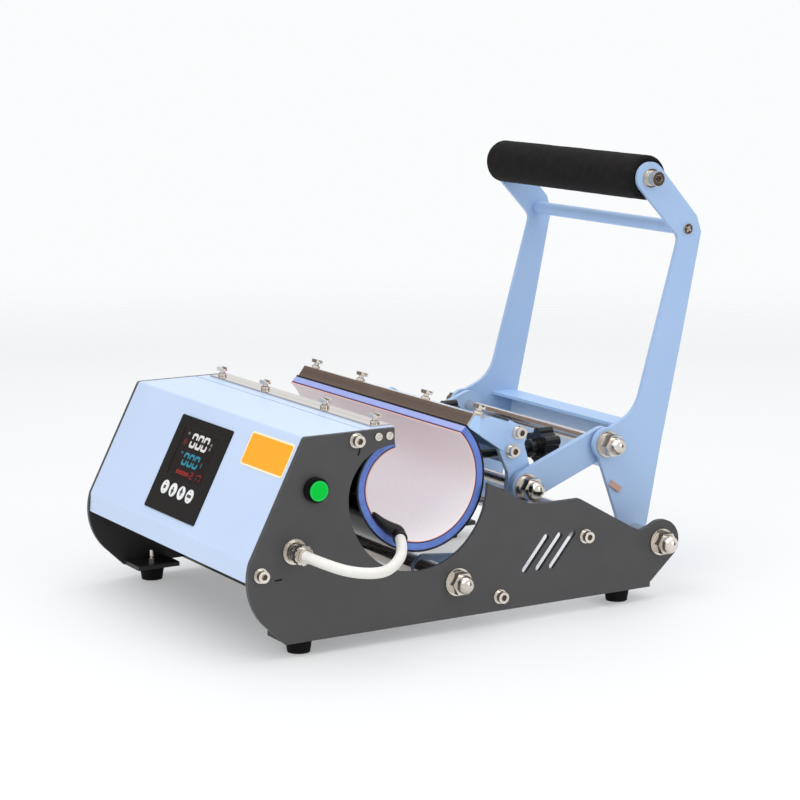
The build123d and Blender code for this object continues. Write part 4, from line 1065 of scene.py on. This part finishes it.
# Seven bars of a figure: across or up, and where each starts, in figure widths and heights
BARS = {
    "top": ("across", 0.0, 1.0),
    "middle": ("across", 0.0, 0.5),
    "bottom": ("across", 0.0, 0.0),
    "upper_left": ("up", 0.0, 0.5),
    "lower_left": ("up", 0.0, 0.0),
    "upper_right": ("up", 1.0, 0.5),
    "lower_right": ("up", 1.0, 0.0),
}
FIGURES = {
    "0": ["top", "bottom", "upper_left", "lower_left", "upper_right", "lower_right"],
    "1": ["upper_right", "lower_right"],
    "2": ["top", "upper_right", "middle", "lower_left", "bottom"],
    "7": ["top", "upper_right", "lower_right"],
}
LEAN = 0.08


def bar_on_screen(bm, start, end, thick):
    """One lit bar with pointed ends, from a stretched hexagon."""
    run = Vector((end[0] - start[0], end[1] - start[1], 0))
    half = run.length / 2
    middle = Vector(((start[0] + end[0]) / 2, (start[1] + end[1]) / 2, ON_SCREEN))
    made = bmesh.ops.create_circle(
        bm, cap_ends=True, radius=1.0, segments=6, matrix=Matrix.Rotation(math.pi / 2, 4, "Z")
    )["verts"]
    for vert in made:
        tip = abs(vert.co.y) < 0.1
        inset = 0.0 if tip else thick / 2
        vert.co.x = math.copysign(half - inset, vert.co.x)
        vert.co.y = 0.0 if tip else math.copysign(thick / 2, vert.co.y)
    turned = Matrix.Rotation(math.atan2(run.y, run.x), 4, "Z")
    bmesh.ops.transform(bm, matrix=Matrix.Translation(middle) @ turned, verts=made)
    raise_faces(bm, made, SCREEN_MARK_HEIGHT)


def figures_on_screen(name, text, low, width, height, step, thick, finish):
    """Figures in bars on the screen; low is the first figure's lower left corner."""
    bm = bmesh.new()
    gap = thick * 0.3
    for index, figure in enumerate(text):
        for bar in FIGURES[figure]:
            way, across, up = BARS[bar]
            first = [across * width, up * height]
            if way == "across":
                last = [first[0] + width + gap, first[1]]
                first[0] -= gap
            else:
                shift = gap if up else -gap
                last = [first[0], first[1] + height / 2 + shift]
                first[1] += shift
            ends = [(low[0] + index * step + x + LEAN * y, low[1] + y) for x, y in (first, last)]
            bar_on_screen(bm, *ends, thick)
    return finish_on_slope(name, bm, "base", finish)


def make_readout():
    rows = [
        ("readout_upper", "000", (-0.0150, 0.0714), 0.0074, 0.0111, 0.0111, 0.0023, "lit_white"),
        ("readout_middle", "000", (-0.0157, 0.0550), 0.0068, 0.0096, 0.0103, 0.0021, "lit_cyan"),
        ("readout_lower", "217", (0.0075, 0.0456), 0.0046, 0.0050, 0.0070, 0.0011, "lit_red"),
    ]
    for name, text, low, width, height, step, thick, finish in rows:
        row = figures_on_screen(name, text, low, width, height, step, thick, FINISH[finish])
    bars = [((-0.0190 + n * 0.0048, 0.0458), (-0.0150 + n * 0.0048, 0.0494)) for n in range(5)]
    marks = {
        "readout_bars": ("lit_red", 0.0, bars),
        "readout_units": (
            "dim_grey", 0.0,
            [((0.0204, 0.0732), (0.0234, 0.0758)), ((0.0204, 0.0770), (0.0234, 0.0796)),
             ((-0.0256, 0.0808), (-0.0218, 0.0830))],
        ),
        "readout_side_marks": (
            "dim_cyan", 0.0,
            [((0.0182, 0.0568), (0.0200, 0.0612)), ((-0.0240, 0.0632), (-0.0200, 0.0652))],
        ),
        "readout_heat_mark": ("dim_red", 0.0032, [((-0.0277, 0.0708), (-0.0213, 0.0772))]),
    }
    for name, (finish, corner, boxes) in marks.items():
        bm = bmesh.new()
        for low, high in boxes:
            plate_on_slope(bm, low, high, ON_SCREEN, SCREEN_MARK_HEIGHT, corner=corner)
        mark = finish_on_slope(name, bm, "base", FINISH[finish])


make_readout()

# Plain marks on the four display buttons
BUTTON_ROW = 0.0312
BLOCK_HEIGHT, ARROW_HEIGHT = 0.00006, 0.00007


def make_button_marks():
    """Blocks given by width and height, arrows by radius, distance up the slope and turn."""
    small_arrows = [(0.0011, 0.0038, 90.0), (0.0011, -0.0038, -90.0)]
    shapes = {
        1: ([(0.0040, 0.0032)], small_arrows),
        2: ([(0.0022, 0.0050)], [(0.0034, -0.0018, -90.0)]),
        3: ([(0.0022, 0.0050)], [(0.0034, 0.0018, 90.0)]),
        4: ([(0.0076, 0.0028)], small_arrows),
    }
    for number, (blocks, arrows) in shapes.items():
        button = f"display_button_{number}"
        low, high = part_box(button)
        middle = (SLOPE.inverted() @ ((low + high) / 2)).x
        bottom = face_of(button) + PROUD
        bm = bmesh.new()
        for wide, tall in blocks:
            plate_on_slope(
                bm, (middle - wide / 2, BUTTON_ROW - tall / 2),
                (middle + wide / 2, BUTTON_ROW + tall / 2), bottom, BLOCK_HEIGHT,
            )
        for radius, up, turn in arrows:
            turned = Matrix.Rotation(math.radians(turn - 90.0), 4, "Z")
            place = Matrix.Translation((middle, BUTTON_ROW + up, bottom)) @ turned
            made = bmesh.ops.create_circle(
                bm, cap_ends=True, radius=radius, segments=3, matrix=place
            )["verts"]
            raise_faces(bm, made, ARROW_HEIGHT)
        mark = finish_on_slope(f"button_mark_{number}", bm, button, FINISH["mark"])


make_button_marks()

# Floor, backdrop and light; part of the white backdrop shows through the floor's shadows
FLOOR_CLEAR = 0.3


def make_floor():
    bm = bmesh.new()
    bmesh.ops.create_circle(bm, cap_ends=True, radius=4.0, segments=96)
    finish, tree, shader, place = start_material("studio_floor", Roughness=0.6)
    paper = speckle(tree, place, 2.0, 3.0)
    base = blend_colours(tree, paper, (0.84, 0.838, 0.832, 1.0), (0.87, 0.868, 0.862, 1.0))
    feed(shader, {"Base Color": base})
    distance = vector_sums(tree, "LENGTH", place, output="Value")
    away = sums(tree, "MAXIMUM", ramp(tree, distance, 0.9, 2.4), FLOOR_CLEAR)
    clear = put(tree, "ShaderNodeBsdfTransparent").outputs[0]
    mixed = put(tree, "ShaderNodeMixShader", {0: away, 1: shader.outputs[0], 2: clear})
    output = next(n for n in tree.nodes if n.type == "OUTPUT_MATERIAL")
    feed(output, {"Surface": mixed.outputs[0]})
    floor = show_mesh("studio_floor", bm, finish)


def make_world():
    """White to the camera and in reflections, and a softer cool light for the rest."""
    world = bpy.data.worlds.new("studio")
    bpy.context.scene.world = world
    world.use_nodes = True
    tree = world.node_tree
    tree.nodes.clear()
    path = put(tree, "ShaderNodeLightPath").outputs
    seen = sums(tree, "MAXIMUM", path["Is Camera Ray"], path["Is Glossy Ray"])
    seen = sums(tree, "MAXIMUM", seen, path["Is Transmission Ray"])
    ambient = put(tree, "ShaderNodeBackground", {"Color": (0.95, 0.97, 1.0, 1.0), "Strength": 0.8})
    white = put(tree, "ShaderNodeBackground", {"Color": (0.96, 0.972, 0.98, 1.0), "Strength": 1.0})
    values = {0: seen, 1: ambient.outputs[0], 2: white.outputs[0]}
    mixed = put(tree, "ShaderNodeMixShader", values)
    put(tree, "ShaderNodeOutputWorld", {"Surface": mixed.outputs[0]})


def aimed(place, target):
    """A matrix at place whose -Z axis points to target."""
    turn = (Vector(target) - Vector(place)).to_track_quat("-Z", "Y")
    return Matrix.Translation(place) @ turn.to_matrix().to_4x4()


def add_lamp(name, place, target, size, power):
    data = bpy.data.lights.new(name, "AREA")
    data.shape = "RECTANGLE"
    data.size, data.size_y = size
    data.energy = power
    add_object(name, data).matrix_world = aimed(place, target)


def add_flag(name, place, target, size, shade):
    """A dark studio board that only polished surfaces show."""
    bm = bmesh.new()
    sized = aimed(place, target) @ Matrix.Diagonal((*size, 1, 1))
    bmesh.ops.create_grid(bm, x_segments=1, y_segments=1, size=0.5, matrix=sized)
    finish, tree, shader, board = start_material(
        name, Roughness=1.0, Base_Color=BLACK, Emission_Strength=1.0
    )
    brighter = tuple(c * 1.5 for c in shade[:3]) + (1.0,)
    felt = blend_colours(tree, speckle(tree, board, 3.0, 2.0), shade, brighter)
    feed(shader, {"Emission Color": felt})
    flag = show_mesh(name, bm, finish)
    flag.visible_camera = False
    flag.visible_diffuse = False
    flag.visible_shadow = False
    flag.visible_transmission = False


make_floor()
make_world()
add_lamp("key_softbox", (0.5, -1.5, 2.1), (0.0, 0.0, 0.15), (1.8, 1.8), 22.0)
add_lamp("top_softbox", (0.0, 0.3, 2.4), (0.0, 0.0, 0.1), (2.0, 2.0), 13.0)
add_lamp("side_softbox", (2.2, 0.7, 1.1), (0.0, 0.0, 0.15), (1.2, 1.2), 9.0)
add_flag("dark_board_left", (-2.2, -0.6, 1.2), (0.0, 0.0, 0.2), (2.2, 1.8), (0.17, 0.14, 0.125, 1.0))
add_flag("dark_board_right", (1.7, 1.3, 0.45), (0.0, 0.0, 0.15), (1.0, 1.4), (0.075, 0.06, 0.052, 1.0))

bpy.context.view_layer.update()
